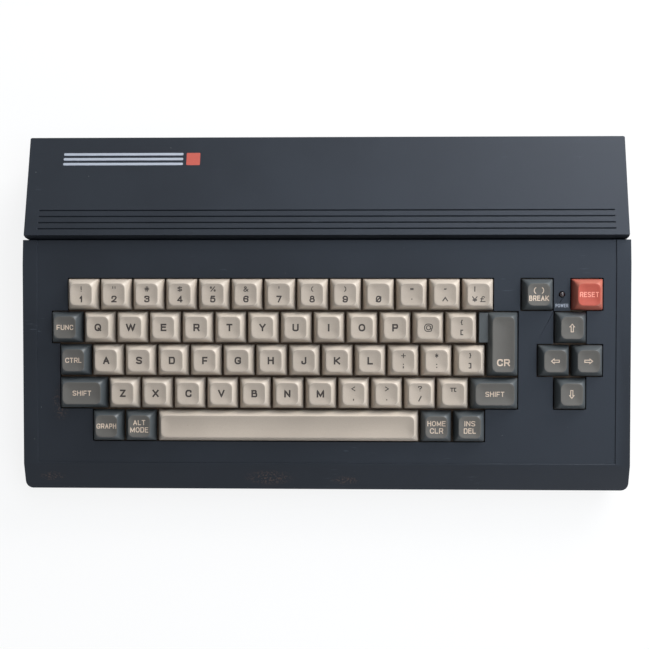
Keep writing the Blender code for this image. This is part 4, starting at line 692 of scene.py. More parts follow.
def pin(name, radius, length):
    """A round contact pin with a rounded tip, which ends at the origin and points to the rear."""
    choose()
    bpy.ops.mesh.primitive_cylinder_add(
        vertices=16, radius=radius * MM, depth=length * MM, location=(0.0, 0.0, -length / 2 * MM)
    )
    made = bpy.context.object
    settle(made)
    edit(made)
    select("faces", lambda face: face.normal.z > 0.9)
    bpy.ops.mesh.bevel(offset=radius * 0.6 * MM, segments=4, affect="EDGES")
    leave_edit()
    made.name = name
    made.data.transform(Matrix.Rotation(-math.pi / 2, 4, "X"))
    smooth(made, 40)
    return made


def rear_pieces(master, name, material, node, places, proud=0.0):
    """Copies of one small piece on the sockets' rear face, all in one piece of their own."""
    coat(master, material)
    copies = [
        copied(master, f"{name}_{i}", Matrix.Translation((x, SOCKET_FACE_Y + proud * MM, z)))
        for i, (x, z) in enumerate(places)
    ]
    discard(master)
    rides(joined(name, copies), body_of(node), "tin_plate")


# Height over the panel, inset and corner radius of each ring of a cap's flanks, in mm
CAP_RINGS = ((-1.5, 0.0, 0.5), (1.2, 0.3, 0.6), (3.6, 0.95, 1.0), (5.8, 1.85, 2.0))
CAP_TOP_CORNER = 3.1
DISH_STEPS = 7


def model_cap(name, width, depth):
    """One cap round the origin of its key: flanks, a thin rim, a round dish, hollow and stem."""
    s = sizes()
    top_width, top_depth = width - s.cap_top_inset * 2, depth - s.cap_top_inset * 2
    choose()
    for height, inset, corner in CAP_RINGS:
        add_outline(width - inset * 2 * MM, depth - inset * 2 * MM, corner * MM, height * MM)
    add_outline(top_width, top_depth, CAP_TOP_CORNER * MM, s.cap_height)
    bpy.ops.mesh.select_all(action="SELECT")
    bpy.ops.mesh.delete(type="ONLY_FACE")
    bpy.ops.mesh.select_all(action="SELECT")
    bpy.ops.mesh.bridge_edge_loops()
    cap = bpy.context.object
    close_ring(s.cap_height)
    rings = FaceRings(top_width, top_depth, s.cap_height)
    rim_width, rim_depth = top_width - s.rim_width * 2, top_depth - s.rim_width * 2
    rings.ring(rim_width, rim_depth, s.cap_height)
    for step in range(1, DISH_STEPS):
        share = step / DISH_STEPS
        inset = min(rim_width, rim_depth) * share
        rings.ring(rim_width - inset, rim_depth - inset, s.cap_height - s.dish_depth * (1 - (1 - share) ** 2))
    close_ring(-s.cap_skirt)
    wall, ceiling, stem = 1.3 * MM, s.cap_height - 2.6 * MM, 5 * MM
    rings = FaceRings(width, depth, -s.cap_skirt)
    rings.ring(width - wall * 2, depth - wall * 2, -s.cap_skirt)
    rings.ring(top_width - wall, top_depth - wall, ceiling)
    rings.ring(stem, stem, ceiling)
    rings.ring(stem, stem, -7 * MM)
    bpy.ops.mesh.select_all(action="SELECT")
    bpy.ops.mesh.normals_make_consistent(inside=False)
    leave_edit()
    cap.name = cap.data.name = name
    settle(cap)
    round_edges(cap, 0.18 * MM, 2, 38)
    smooth(cap, 24)
    for _ in range(2):
        cap.data.materials.append(None)
    lowest = s.cap_height - s.dish_depth - 0.01 * MM
    for face in cap.data.polygons:
        face.material_index = int(face.center.z > lowest and face.normal.z > 0.9)
    return cap


def close_ring(height):
    """In edit mode, fills the open ring that lies at a height, and leaves the new face selected."""
    base = bpy.context.object.location.z
    select("edges", lambda edge: edge.is_boundary and all(
        abs(vertex.co.z + base - height) < 1e-6 for vertex in edge.verts
    ))
    bpy.ops.mesh.edge_face_add()


SHELF_TOP = 2.6 * MM


def tall_cap():
    """The L-shaped cap: two rows tall, with a low shelf to the left of its upper half."""
    cap = model_cap("tall_cap", CAP_BASE, CAP_BASE + KEY_PITCH)
    width, height = KEY_PITCH / 4 + 1.5 * MM, SHELF_TOP + sizes().cap_skirt
    centre = (-CAP_BASE / 2 - KEY_PITCH / 4 + width / 2, KEY_PITCH / 2, SHELF_TOP - height / 2)
    shelf = block((width, CAP_BASE, height), centre)
    edit(shelf)
    select("faces", lambda face: face.normal.z > 0.9)
    bpy.ops.transform.resize(value=(0.86, 0.94, 1.0))
    leave_edit()
    apply_modifier(cap, "BOOLEAN", operation="UNION", solver="EXACT", object=shelf)
    discard(shelf)
    smooth(cap, 24)
    return cap


# Legends


# The pen strokes of each character, on a field from 0 to 8 across and 0 to 9 up, with how wide the
# character is for its height. ~ marks a stroke that is rounded, and o one that is rounded and closed
GLYPHS = {
    "A": (0.95, "00 49 80|13 73"), "B": (0.88, "00 09|~09 59 79 75 55 05|~05 55 85 80 50 00"),
    "C": (0.93, "~87 89 09 00 80 82"), "D": (0.93, "00 09|~09 49 89 80 40 00"),
    "E": (0.86, "80 00 09 89|05 75"), "F": (0.8, "00 09 89|04 74"),
    "G": (0.97, "~87 89 09 00 80 84|84 54"), "H": (0.93, "00 09|80 89|05 85"),
    "I": (0.24, "40 49"), "J": (0.75, "~89 84 80 00 03"), "K": (0.95, "00 09|89 03|34 80"),
    "L": (0.8, "09 00 80"), "M": (1.12, "00 09 41 89 80"), "N": (0.93, "00 09 80 89"),
    "O": (1.0, "o80 89 09 00"), "P": (0.87, "00 09|~09 59 89 84 54 04"),
    "Q": (1.0, "o80 89 09 00|53 80"), "R": (0.93, "00 09|~09 59 89 84 54 04|54 80"),
    "S": (0.9, "~88 69 09 05 84 80 20 01"), "T": (0.88, "09 89|49 40"),
    "U": (0.93, "~09 04 00 80 84 89"), "V": (0.97, "09 40 89"), "W": (1.42, "09 20 49 60 89"),
    "X": (0.95, "00 89|09 80"), "Y": (0.95, "09 44 89|44 40"), "Z": (0.86, "09 89 00 80"),
    "0": (0.82, "o80 89 09 00|01 88"), "1": (0.5, "50 59 06"),
    "2": (0.78, "~06 09 89 85 00|00 80"), "3": (0.78, "~07 09 89 85 35|~35 85 80 00 02"),
    "4": (0.82, "60 69 02 82"), "5": (0.78, "79 19 05|~05 16 86 80 00 02"),
    "6": (0.8, "~87 89 09 00 80 85 05 03"), "7": (0.78, "09 89 30"),
    "8": (0.8, "o75 79 19 15|o85 80 00 05"), "9": (0.8, "~02 00 80 89 09 04 84 86"),
    "!": (0.22, "49 43|40 40"), '"': (0.75, "16 19|76 79"), "#": (0.9, "20 39|50 69|03 83|06 86"),
    "$": (0.85, "~87 88 08 05 84 81 01 02|49 40"), "%": (1.1, "o06 26 29 09|o60 80 83 63|10 79"),
    "&": (0.95, "~80 26 19 59 56 03 00 50 84"), "'": (0.22, "49 46"), "(": (0.42, "~89 17 12 80"),
    ")": (0.42, "~09 77 72 00"), "=": (0.8, "06 86|03 83"), "-": (0.5, "04 84"),
    "~": (1.1, "~03 06 46 43 83 86"), "^": (1.3, "00 49 80"), "|": (0.22, "49 40"),
    "¥": (0.95, "09 44 89|44 40|14 74|12 72"), "£": (0.9, "~78 69 39 26 23 00|00 80|05 55"),
    "@": (1.05, "~72 70 00 09 89 83 63 66|o62 67 27 22"), "{": (0.55, "~69 39 37 35 15|~15 34 32 30 60"),
    "}": (0.55, "~29 59 57 55 75|~75 54 52 50 20"), "[": (0.5, "89 09 00 80"), "]": (0.5, "09 89 80 00"),
    "+": (0.9, "40 48|04 84"), ";": (0.3, "47 47|42 30"), "*": (0.8, "48 41|16 73|13 76"),
    ":": (0.22, "47 47|41 41"), "<": (0.85, "78 04 70"), ">": (0.85, "18 84 10"), ",": (0.35, "42 30"),
    ".": (0.22, "41 41"), "?": (0.78, "~07 09 49 89 86 45 43|40 40"), "/": (0.6, "00 89"),
    "π": (1.3, "08 88|28 20|~68 62 60 80"),
}
SPACE_SHARE = 0.6
PEN_STEP = 0.6 * MM
INK_PROUD = 0.03 * MM
SMALLEST_TRIANGLE = 1e-11


def rounded_stroke(points, closed):
    """Cuts the corners of a stroke twice, which leaves a smooth curve."""
    for _ in range(2):
        follow = points[1:] + points[:1] if closed else points[1:]
        cut = [] if closed else [points[0]]
        for here, there in zip(points, follow):
            cut += [here.lerp(there, 0.25), here.lerp(there, 0.75)]
        points = cut if closed else cut + [points[-1]]
    return points


def pen_triangles(points, half, closed):
    """The flat triangles of one pen stroke, which meet in mitres and reach half the pen past its ends."""
    if not closed:
        first, last = points[0] - points[1], points[-1] - points[-2]
        if last.length == 0:
            first, last = Vector((0.0, -1.0)), Vector((0.0, 1.0))
        points = [points[0] + first.normalized() * half, *points[1:-1], points[-1] + last.normalized() * half]
    fine = []
    follow = points[1:] + points[:1] if closed else points[1:]
    for here, there in zip(points, follow):
        parts = max(1, math.ceil((there - here).length / PEN_STEP))
        fine += [here.lerp(there, i / parts) for i in range(parts)]
    if not closed:
        fine.append(points[-1])
    edges = []
    for i, point in enumerate(fine):
        before = fine[i - 1] if i or closed else None
        after = fine[(i + 1) % len(fine)] if i + 1 < len(fine) or closed else None
        came = (point - before).normalized() if before else (after - point).normalized()
        goes = (after - point).normalized() if after else came
        along = (came + goes).normalized() if (came + goes).length > 1e-6 else goes
        across = Vector((-along.y, along.x))
        mitre = half / max(across.dot(Vector((-goes.y, goes.x))), 0.6)
        edges.append((point + across * mitre, point - across * mitre))
    pairs = list(zip(edges, edges[1:] + edges[:1] if closed else edges[1:]))
    triangles = [corners for (a, b), (c, d) in pairs for corners in ((a, b, c), (b, d, c))]
    turned = [(a, b, c) if (b - a).cross(c - a) > 0 else (a, c, b) for a, b, c in triangles]
    return [(a, b, c) for a, b, c in turned if (b - a).cross(c - a) > SMALLEST_TRIANGLE]


def inked(point, pieces):
    return any(intersect_point_tri_2d(point, *piece) for piece in pieces)


def printed(text, height, x, y, material, pen, width=None, spacing=0.2):
    """A line of drawn capitals, centred on x and y, laid flat at the origin's height."""
    half = pen / 2
    shares = [GLYPHS[character][0] if character in GLYPHS else SPACE_SHARE for character in text]
    natural = (sum(shares) + (len(text) - 1) * spacing) * height
    squeeze = width / natural if width else 1.0
    spacing *= squeeze
    pieces, left = [], 0.0
    for character in text:
        if character == " ":
            left += height * (SPACE_SHARE * squeeze + spacing)
            continue
        share, strokes = GLYPHS[character]
        wide = max(height * share * squeeze - pen, 0.0)
        for stroke in strokes.split("|"):
            marks = stroke.lstrip("~o").split()
            points = [
                Vector((left + half + int(m[0]) / 8 * wide, half + int(m[1]) / 9 * (height - pen)))
                for m in marks
            ]
            closed = stroke[0] == "o"
            if stroke[0] in "~o":
                points = rounded_stroke(points, closed)
            pieces += pen_triangles(points, half, closed)
        left += max(wide + pen, height * share * squeeze) + height * spacing
    width = left - height * spacing
    corners = [corner for piece in pieces for corner in piece]
    faces = [tuple(range(i * 3, i * 3 + 3)) for i in range(len(pieces))]
    places, _, triangles, *_ = delaunay_2d_cdt(corners, [], faces, 0, 1e-8)
    kept = [
        triangle for triangle in triangles
        if inked(sum((places[i] for i in triangle), Vector((0.0, 0.0))) / 3, pieces)
    ]
    mesh = bpy.data.meshes.new("print")
    mesh.from_pydata([(p.x - width / 2 + x, p.y - height / 2 + y, 0.0) for p in places], [], kept)
    words = bpy.data.objects.new("print", mesh)
    bpy.context.scene.collection.objects.link(words)
    return cleaned_print(words, material)


def cleaned_print(words, material):
    """Gives print its ink, without loose points, its faces upwards."""
    coat(words, material)
    edit(words, whole=True)
    bpy.ops.mesh.remove_doubles(threshold=0.002 * MM)
    bpy.ops.mesh.delete_loose()
    select("faces", lambda face: face.normal.z < 0)
    bpy.ops.mesh.flip_normals()
    leave_edit()
    return words


def printed_arrow(turn, material):
    """An outlined arrow, drawn as one flat curve inside another."""
    outer = [(-0.85, -2.5), (0.85, -2.5), (0.85, 0.4), (1.75, 0.4), (0.0, 2.5), (-1.75, 0.4), (-0.85, 0.4)]
    inner = [(-0.4, -2.05), (0.4, -2.05), (0.4, 0.85), (0.8, 0.85), (0.0, 1.8), (-0.8, 0.85), (-0.4, 0.85)]
    drawn = bpy.data.curves.new("arrow", "CURVE")
    drawn.dimensions = "2D"
    drawn.fill_mode = "BOTH"
    for outline in (outer, inner):
        spline = drawn.splines.new("POLY")
        spline.points.add(len(outline) - 1)
        for point, (x, y) in zip(spline.points, outline):
            point.co = (x * MM, y * MM, 0.0, 1.0)
        spline.use_cyclic_u = True
    arrow = bpy.data.objects.new("arrow", drawn)
    bpy.context.scene.collection.objects.link(arrow)
    choose(arrow)
    bpy.ops.object.convert(target="MESH")
    arrow = bpy.context.object
    arrow.data.transform(Matrix.Rotation(math.radians(turn), 4, "Z"))
    return cleaned_print(arrow, material)


def laid_on(words, cap):
    """Drops print onto a cap's dish."""
    words.data.transform(Matrix.Translation((0.0, 0.0, sizes().cap_height + 2 * MM)))
    apply_modifier(
        words, "SHRINKWRAP", target=cap, wrap_method="PROJECT", use_project_z=True,
        use_negative_direction=True, use_positive_direction=False, offset=INK_PROUD,
    )
    return thickened(words)


def thickened(words):
    """Turns a sheet of print into a closed skin that reaches a little into what carries it."""
    apply_modifier(words, "SOLIDIFY", thickness=INK_PROUD * 2, offset=-1.0)
    return words


# Legends are (text, height in mm, x, y, pen in mm) from the middle of the cap
UPPER_LINE, LOWER_LINE = 3.1, -2.65
PEN, DIGIT_PEN, MARK_PEN, FINE_PEN, WORD_PEN = 0.95, 0.82, 0.65, 0.48, 0.45
DIGIT_HEIGHT = 3.9
LOW_MARKS = {"-": 0.75, ",": 2.4, ".": 2.4, "=": 2.4, "^": 2.5, "'": 3.1, "~": 1.3}


def letter_mark(letter):
    return [(letter, 4.3, 0.0, 0.0, PEN, GLYPHS[letter][0] * 3.9)]


def pair(upper, lower):
    height, pen = (DIGIT_HEIGHT, DIGIT_PEN) if lower.isdigit() else (LOW_MARKS.get(lower, 3.2), MARK_PEN)
    return [
        (upper, LOW_MARKS.get(upper, 3.0), 0.0, UPPER_LINE, FINE_PEN), (lower, height, 0.0, LOWER_LINE, pen)
    ]


def word(text, width):
    return [(text, 2.9, 0.0, 0.0, WORD_PEN, width)]


def two_words(upper, upper_width, lower, lower_width):
    return [(upper, 3.0, 0.0, 2.1, WORD_PEN, upper_width), (lower, 3.0, 0.0, -2.1, WORD_PEN, lower_width)]


NUMBER_ROW = [pair(a, b) for a, b in zip("!\"#$%&'()", "123456789")]
NUMBER_ROW.append([("0", DIGIT_HEIGHT, 0.0, LOWER_LINE, DIGIT_PEN)])
NUMBER_ROW += [pair("=", "-"), pair("~", "^")]
NUMBER_ROW.append([
    ("|", 3.0, -2.2, UPPER_LINE, 0.55), ("¥", 3.3, -2.2, LOWER_LINE, 0.5), ("£", 3.3, 2.4, LOWER_LINE, 0.5)
])
LOWER_ROW = [letter_mark(letter) for letter in "ZXCVBNM"]
LOWER_ROW += [pair("<", ","), pair(">", "."), pair("?", "/"), [("π", 2.7, 0.0, 2.65, 0.55)]]
TOP_LETTERS = [(letter.lower(), letter_mark(letter)) for letter in "QWERTYUIOP"]
TOP_LETTERS += [("at", [("@", 4.7, 0.0, 0.0, 0.5)]), ("brace_left", pair("{", "["))]
HOME_LETTERS = [(letter.lower(), letter_mark(letter)) for letter in "ASDFGHJKL"]
HOME_LETTERS += [("plus", pair("+", ";")), ("colon", pair("*", ":")), ("brace_right", pair("}", "]"))]

# Node, place in pitches, row, width in pitches, kind and legend of each key that moves alone. The legend
# of a cursor key is the turn of its arrow
KEYS = [("key_" + name, 0.5 + i, 1, 1.0, "cream", legend) for i, (name, legend) in enumerate(TOP_LETTERS)]
KEYS += [("key_" + name, 0.75 + i, 2, 1.0, "cream", legend) for i, (name, legend) in enumerate(HOME_LETTERS)]
KEYS += [
    ("key_function", -0.5, 1, 1.0, "dark", word("FUNC", 9.6)),
    ("key_control", -0.25, 2, 1.0, "dark", word("CTRL", 9.4)),
    ("key_shift_left", 0.0, 3, 1.5, "dark", word("SHIFT", 10.8)),
    ("key_shift_right", 12.5, 3, 1.5, "dark", word("SHIFT", 10.8)),
    ("key_graphics", 0.75, 4, 1.0, "dark", word("GRAPH", 11.4)),
    ("key_alternate", 1.75, 4, 1.0, "dark", two_words("ALT", 7.0, "MODE", 10.4)),
    ("key_home", 10.75, 4, 1.0, "dark", two_words("HOME", 10.4, "CLR", 7.6)),
    ("key_insert", 11.75, 4, 1.0, "dark", two_words("INS", 6.2, "DEL", 6.8)),
    ("key_break", 13.8, 0, 1.0, "dark", [
        ("( )", 3.65, 0.0, 2.3, 0.5, 6.0), ("BREAK", 3.0, 0.0, -2.1, 0.52, 11.2)
    ]),
    ("key_up", 14.8, 1, 1.0, "dark", 0),
    ("key_left", 14.3, 2, 1.0, "dark", 90),
    ("key_right", 15.3, 2, 1.0, "dark", -90),
    ("key_down", 14.8, 3, 1.0, "dark", 180),
    ("key_reset", 15.3, 0, 1.0, "red", word("RESET", 10.8)),
    ("key_space", 6.25, 4, 8.0, "cream", []),
    ("key_return", 12.75, 1.5, "tall", "dark", [("CR", 4.0, 0.0, -10.4, 0.75, 7.3)]),
]
INKS = {
    "cream": ("brown_print", "brown_ink"),
    "dark": ("beige_print", "beige_ink"),
    "red": ("pink_print", "pink_ink"),
}


def deck_place(pitches, row):
    """Where a key's own origin lies: on the key plane, so many pitches and rows from the first key."""
    x = FIRST_KEY_X + pitches * KEY_PITCH
    y = -FIRST_ROW_DISTANCE - row * KEY_PITCH
    return KEY_PLANE @ Matrix.Translation((x, y, 0.0))


def make_key(master, name, pitches, row, kind, legend):
    """A copy of a cap with its legend printed on it, put in its place on the deck."""
    cap = copied(master, name)
    cap.data.materials[0], cap.data.materials[1] = cap_pair(kind)
    print_finish = ink(*INKS[kind])
    parts = [cap]
    if isinstance(legend, int):
        parts.append(laid_on(printed_arrow(legend, print_finish), master))
    else:
        for text, height, x, y, pen, *width in legend:
            width = width[0] * MM if width else None
            words = printed(text, height * MM, x * MM, y * MM, print_finish, pen * MM, width)
            parts.append(laid_on(words, master))
    key = joined(name, parts)
    key.data.transform(deck_place(pitches, row))
    return key


# Operators


class StageOperator(bpy.types.Operator):
    """Sets the pale floor, the soft lights and the camera of the photograph"""

    bl_idname = "home_computer.stage"
    bl_label = "Stage"

    def execute(self, context):
        camera = bpy.data.objects.new("camera", bpy.data.cameras.new("camera"))
        context.scene.collection.objects.link(camera)
        camera.location = CAMERA_PLACE
        camera.rotation_euler = [math.radians(angle) for angle in CAMERA_TURN]
        camera.data.sensor_width = SENSOR_WIDTH
        camera.data.lens = FOCAL_PIXELS * SENSOR_WIDTH / PHOTO_WIDTH
        camera.data.clip_start = 0.01
        context.scene.camera = camera

        choose()
        bpy.ops.mesh.primitive_plane_add(size=FLOOR_SIZE)
        floor = context.object
        floor.name = "floor"
        floor.data.materials.append(floor_finish())

        for name, place, (wide, high), power, colour in LAMPS:
            light = bpy.data.lights.new(name, "AREA")
            light.shape = "RECTANGLE"
            light.size, light.size_y = wide, high
            light.energy = power
            light.color = colour
            lamp = bpy.data.objects.new(name, light)
            context.scene.collection.objects.link(lamp)
            lamp.location = place
            lamp.rotation_euler = Vector(place).to_track_quat("Z", "Y").to_euler()
        context.scene.world = room_world()
        context.scene.view_settings.view_transform = "Standard"
        return {"FINISHED"}


def room_world():
    """Light from all round, brighter and cooler from the right, and plain white behind the object."""
    world = bpy.data.worlds.new("room")
    world.use_nodes = True
    nodes = Nodes(world.node_tree)
    direction = nodes.add("ShaderNodeTexCoord", {}, {}, "Generated")
    side = nodes.vector("DOT_PRODUCT", direction, BRIGHT_SIDE).over(-0.1, 0.6)
    shown = nodes.tint(nodes.seen(), nodes.tint(side, ROOM_DIM, ROOM_BRIGHT), WHITE)
    nodes.feed(world.node_tree.nodes["Background"].inputs["Color"], shown)
    return world


def floor_finish():
    """White paper that the camera sees almost as white as it is, with a faint shadow."""
    constants = {"Base Color": (0.86, 0.86, 0.86, 1.0), "Roughness": 0.9, "Specular IOR Level": 0.0}
    paper = Recipe("paper", constants)
    glow = paper.add("ShaderNodeEmission", {}, {"Color": (*WHITE, 1.0)})
    lit = Wire(paper, paper.shader.outputs["BSDF"])
    mixed = paper.add("ShaderNodeMixShader", {}, {0: paper.seen() * 0.85, 1: lit, 2: glow})
    paper.feed(paper.tree.nodes["Material Output"].inputs["Surface"], mixed)
    return paper.material


class CaseOperator(bpy.types.Operator):
    """Makes the upper and the lower case with rounded edges"""

    bl_idname = "home_computer.case"
    bl_label = "Case halves"

    def execute(self, context):
        width = sizes().edge_round / MM
        refined("upper_case", "upper_case_moulding", case_plastic(), "dark_case", width, 2, 20, 0.12)
        refined("lower_case", "lower_case_moulding", case_plastic(), "dark_case", width, 2, 35, 0.12)
        return {"FINISHED"}


class MarkingsOperator(bpy.types.Operator):
    """Prints the lamp's word on the panel and plain bars on the hood"""

    bl_idname = "home_computer.markings"
    bl_label = "Printing on the case"

    def execute(self, context):
        white, orange = ink("white_print", "white_paint"), ink("orange_print", "orange_paint")
        lift = Matrix.Translation((0.0, 0.0, INK_PROUD + 0.02 * MM))
        words = printed("POWER", 2.0 * MM, 0.0, 0.0, white, 0.34 * MM, 7.3 * MM)
        below_lamp = Matrix.Translation((middle_x("power_lamp"), -FIRST_ROW_DISTANCE - 6.4 * MM, 0.0))
        words.data.transform(KEY_PLANE @ lift @ below_lamp)
        words.name = "lamp_word"
        thickened(words)
        rides(words, "case", "dark_case")
        bars = []
        for start, end, along, thick, finish in (
            (-155.0, -84.0, 52.0, 1.6, white),
            (-155.0, -84.0, 48.8, 1.6, white),
            (-155.0, -84.0, 45.6, 1.6, white),
            (-82.0, -74.0, 48.8, 8.0, orange),
        ):
            choose()
            bpy.ops.mesh.primitive_plane_add(size=1.0)
            bar = context.object
            bar.scale = ((end - start) * MM, thick * MM, 1.0)
            bar.location = ((start + end) / 2 * MM, along * MM, 0.0)
            settle(bar, HOOD_PLANE @ lift)
            coat(bar, finish)
            edit(bar, whole=True)
            bpy.ops.mesh.bevel(offset=0.5 * MM, segments=3, affect="VERTICES")
            leave_edit()
            bars.append(thickened(bar))
        rides(joined("hood_bars", bars), "case", "dark_case")
        return {"FINISHED"}


class KeysOperator(bpy.types.Operator):
    """Models one cap of each size and copies it for every key, each with its legend"""

    bl_idname = "home_computer.keys"
    bl_label = "Keys"

    def execute(self, context):
        masters = {
            span: model_cap(name, span * KEY_PITCH - KEY_GAP, CAP_BASE)
            for name, span in (("cap", 1.0), ("wide_cap", 1.5), ("space_cap", 8.0))
        }
        masters["tall"] = tall_cap()
        for node, pitches, row, span, kind, legend in KEYS:
            key = make_key(masters[span], node + "_cap", pitches, row, kind, legend)
            rides(key, node, kind + "_key", node)
        for bank, start, row, legends in (
            ("number_row_keys", 0.0, 0, NUMBER_ROW), ("lower_row_keys", 1.25, 3, LOWER_ROW)
        ):
            caps = [
                make_key(masters[1.0], f"{bank}_{i}", start + i, row, "cream", legend)
                for i, legend in enumerate(legends)
            ]
            rides(joined(bank + "_caps", caps), bank, "cream_key", bank)
        for master in masters.values():
            discard(master)
        return {"FINISHED"}


class InsideOperator(bpy.types.Operator):
    """Dresses the keyboard frame, the circuit boards, the lamp and the feet"""

    bl_idname = "home_computer.inside"
    bl_label = "Frame, boards, lamp and feet"

    def execute(self, context):
        board, main_board = keyboard_board_finish(), main_board_finish()
        # Painted light: the frame's brown stands in for light bounced from the cream caps into the key gaps
        brown = plain_plastic(*FRAME_BOUNCE_BROWN)
        refined("keyboard_frame", "keyboard_frame_moulding", brown, "frame_plastic", 0.2, 1)
        refined("keyboard_circuit_board", "keyboard_board_panel", board, "circuit_board", 0.15, 1)
        refined("main_circuit_board", "main_board_assembly", main_board, "circuit_board", 0.15, 1)
        smooth(refined("power_lamp", "power_lamp_lens", lamp_finish(), "lamp_lens", 0.12, 2, 25), 50)
        rubber = plain_plastic(*FOOT_RUBBER)
        for strip in ("front", "rear"):
            refined(f"{strip}_foot_strip", f"{strip}_foot_rubber", rubber, "foot_rubber", 0.4, 3)
        return {"FINISHED"}


class SocketsOperator(bpy.types.Operator):
    """Dresses the rear sockets and adds their contacts"""

    bl_idname = "home_computer.sockets"
    bl_label = "Rear sockets"

    def execute(self, context):
        black, brass, steel = plain_plastic(*SOCKET_BLACK), metal(*BRASS), metal(*STEEL)
        refined("rf_modulator", "rf_modulator_can", metal(*TIN_PLATE), "tin_plate", 0.4)
        for node, name, width in (
            ("power_jack", "power_jack_moulding", 0.2),
            ("cassette_jacks", "cassette_jack_mouldings", 0.2),
            ("joystick_ports", "joystick_port_moulding", 0.25),
            ("video_socket", "video_socket_moulding", 0.15),
            ("printer_socket", "printer_socket_moulding", 0.15),
        ):
            refined(node, name, black, "socket_black", width)

        for node, angles in (
            ("video_socket", (0, 45, 90, 135, 180)), ("printer_socket", range(-30, 211, 40))
        ):
            turns = [math.radians(angle) for angle in angles]
            places = [
                (middle_x(node) + math.cos(turn) * CONTACT_CIRCLE, SOCKET_Z + math.sin(turn) * CONTACT_CIRCLE)
                for turn in turns
            ]
            rear_pieces(ring("contact", 0.55, 0.85, 0.1), node + "_contacts", brass, node, places)
        pins = [
            (middle_x("joystick_ports") + side * 16 * MM + place * PIN_PITCH, SOCKET_Z + up * MM)
            for side in (-1, 1)
            for up, along in ((1.42, (-2, -1, 0, 1, 2)), (-1.42, (-1.5, -0.5, 0.5, 1.5)))
            for place in along
        ]
        rear_pieces(pin("joystick_pin", 0.5, 5.2), "joystick_pins", brass, "joystick_ports", pins, -0.8)
        jacks = [(middle_x("cassette_jacks") + side * 6.5 * MM, SOCKET_Z) for side in (-1, 1)]
        rear_pieces(ring("jack_ring", 1.85, 2.9, 0.4), "cassette_jack_rings", steel, "cassette_jacks", jacks)
        phono = [(middle_x("rf_modulator") + 16 * MM, SOCKET_Z)]
        white = plain_plastic(*INSULATOR)
        rear_pieces(ring("insulator", 1.7, 3.5, 0.15), "phono_insulator", white, "rf_modulator", phono)
        inlet = [(middle_x("power_jack"), SOCKET_Z)]
        rear_pieces(pin("inlet_pin", 1.06, 5.4), "power_inlet_pin", steel, "power_jack", inlet, -0.15)
        return {"FINISHED"}


class ScrewsOperator(bpy.types.Operator):
    """Sets a pan-head screw in each well under the case"""

    bl_idname = "home_computer.screws"
    bl_label = "Case screws"

    def execute(self, context):
        choose()
        bpy.ops.mesh.primitive_cylinder_add(vertices=32, radius=2.8 * MM, depth=1.8 * MM, location=(0, 0, 0))
        screw = context.object
        settle(screw)
        edit(screw)
        select("faces", lambda face: face.normal.z < -0.9)
        bpy.ops.mesh.bevel(offset=0.8 * MM, segments=4, affect="EDGES")
        leave_edit()
        for turn in (0, 90):
            slot = block((3.2 * MM, 0.7 * MM, 1.6 * MM), (0, 0, -0.9 * MM))
            slot.data.transform(Matrix.Rotation(math.radians(turn), 4, "Z"))
            apply_modifier(screw, "BOOLEAN", operation="DIFFERENCE", solver="EXACT", object=slot)
            discard(slot)
        coat(screw, metal(*STEEL))
        round_edges(screw, 0.06 * MM, 1, 40)
        smooth(screw, 40)
        heads = []
        for i, (x, y) in enumerate(SCREW_PLACES):
            place = Matrix.Translation((x * MM, y * MM, SCREW_HEAD_Z)) @ Matrix.Rotation(i, 4, "Z")
            heads.append(copied(screw, f"case_screw_{i}", place))
        discard(screw)
        rides(joined("case_screws", heads), "case", "tin_plate")
        return {"FINISHED"}


class CartridgeOperator(bpy.types.Operator):
    """Dresses the cartridge door and its connector"""

    bl_idname = "home_computer.cartridge"
    bl_label = "Cartridge slot"

    def execute(self, context):
        refined("cartridge_door", "cartridge_door_flap", case_plastic(), "dark_case", 0.2)
        black = plain_plastic(*SOCKET_BLACK)
        refined("cartridge_connector", "cartridge_connector_block", black, "socket_black", 0.25)
        return {"FINISHED"}


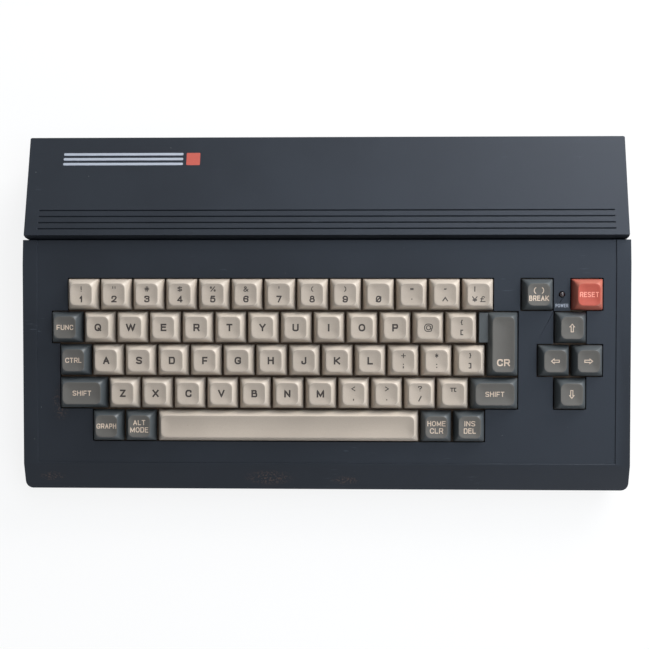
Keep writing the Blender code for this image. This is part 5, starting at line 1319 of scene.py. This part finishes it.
class SwitchesOperator(bpy.types.Operator):
    """Dresses the two switch levers"""

    bl_idname = "home_computer.switches"
    bl_label = "Switch levers"

    def execute(self, context):
        black = plain_plastic(*SOCKET_BLACK)
        for node, ribs, thick, tall in (
            ("power_switch_lever", 4, 0.4, 2.6), ("channel_switch_lever", 3, 0.3, 1.7)
        ):
            pieces = [refined(node, node + "_knob", black, "socket_black", 0.25, 3)]
            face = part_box(node)[1].y
            for i in range(ribs):
                x = middle_x(node) + (i - (ribs - 1) / 2) * thick * 2 * MM
                rib = block((thick * MM, 0.4 * MM, tall * MM), (x, face, SOCKET_Z))
                coat(rib, black)
                round_edges(rib, 0.1 * MM, 2)
                pieces.append(rib)
            joined(node + "_knob", pieces)
        return {"FINISHED"}


class HomeComputerPanel(bpy.types.Panel):
    """Lists the steps that make the computer"""

    bl_idname = "VIEW3D_PT_home_computer"
    bl_label = "Vintage home computer"
    bl_space_type = "VIEW_3D"
    bl_region_type = "UI"
    bl_category = "Home computer"

    def draw(self, context):
        column = self.layout.column(align=True)
        for step in STEPS:
            column.operator(step.bl_idname)
        for group in (context.scene.home_computer_sizes, context.scene.home_computer_colours):
            box = self.layout.box()
            for name in group.__annotations__:
                box.prop(group, name)


STEPS = (
    StageOperator,
    CaseOperator,
    MarkingsOperator,
    KeysOperator,
    InsideOperator,
    SocketsOperator,
    ScrewsOperator,
    CartridgeOperator,
    SwitchesOperator,
)
CLASSES = (HomeComputerSizes, HomeComputerColours, *STEPS, HomeComputerPanel)


def register():
    for item in CLASSES:
        bpy.utils.register_class(item)
    bpy.types.Scene.home_computer_sizes = PointerProperty(type=HomeComputerSizes)
    bpy.types.Scene.home_computer_colours = PointerProperty(type=HomeComputerColours)


def unregister():
    del bpy.types.Scene.home_computer_colours
    del bpy.types.Scene.home_computer_sizes
    for item in reversed(CLASSES):
        bpy.utils.unregister_class(item)


def main():
    """Makes every piece in order."""
    register()
    bpy.ops.home_computer.stage()
    bpy.ops.home_computer.case()
    bpy.ops.home_computer.markings()
    bpy.ops.home_computer.keys()
    bpy.ops.home_computer.inside()
    bpy.ops.home_computer.sockets()
    bpy.ops.home_computer.screws()
    bpy.ops.home_computer.cartridge()
    bpy.ops.home_computer.switches()


if __name__ == "__main__":
    main()
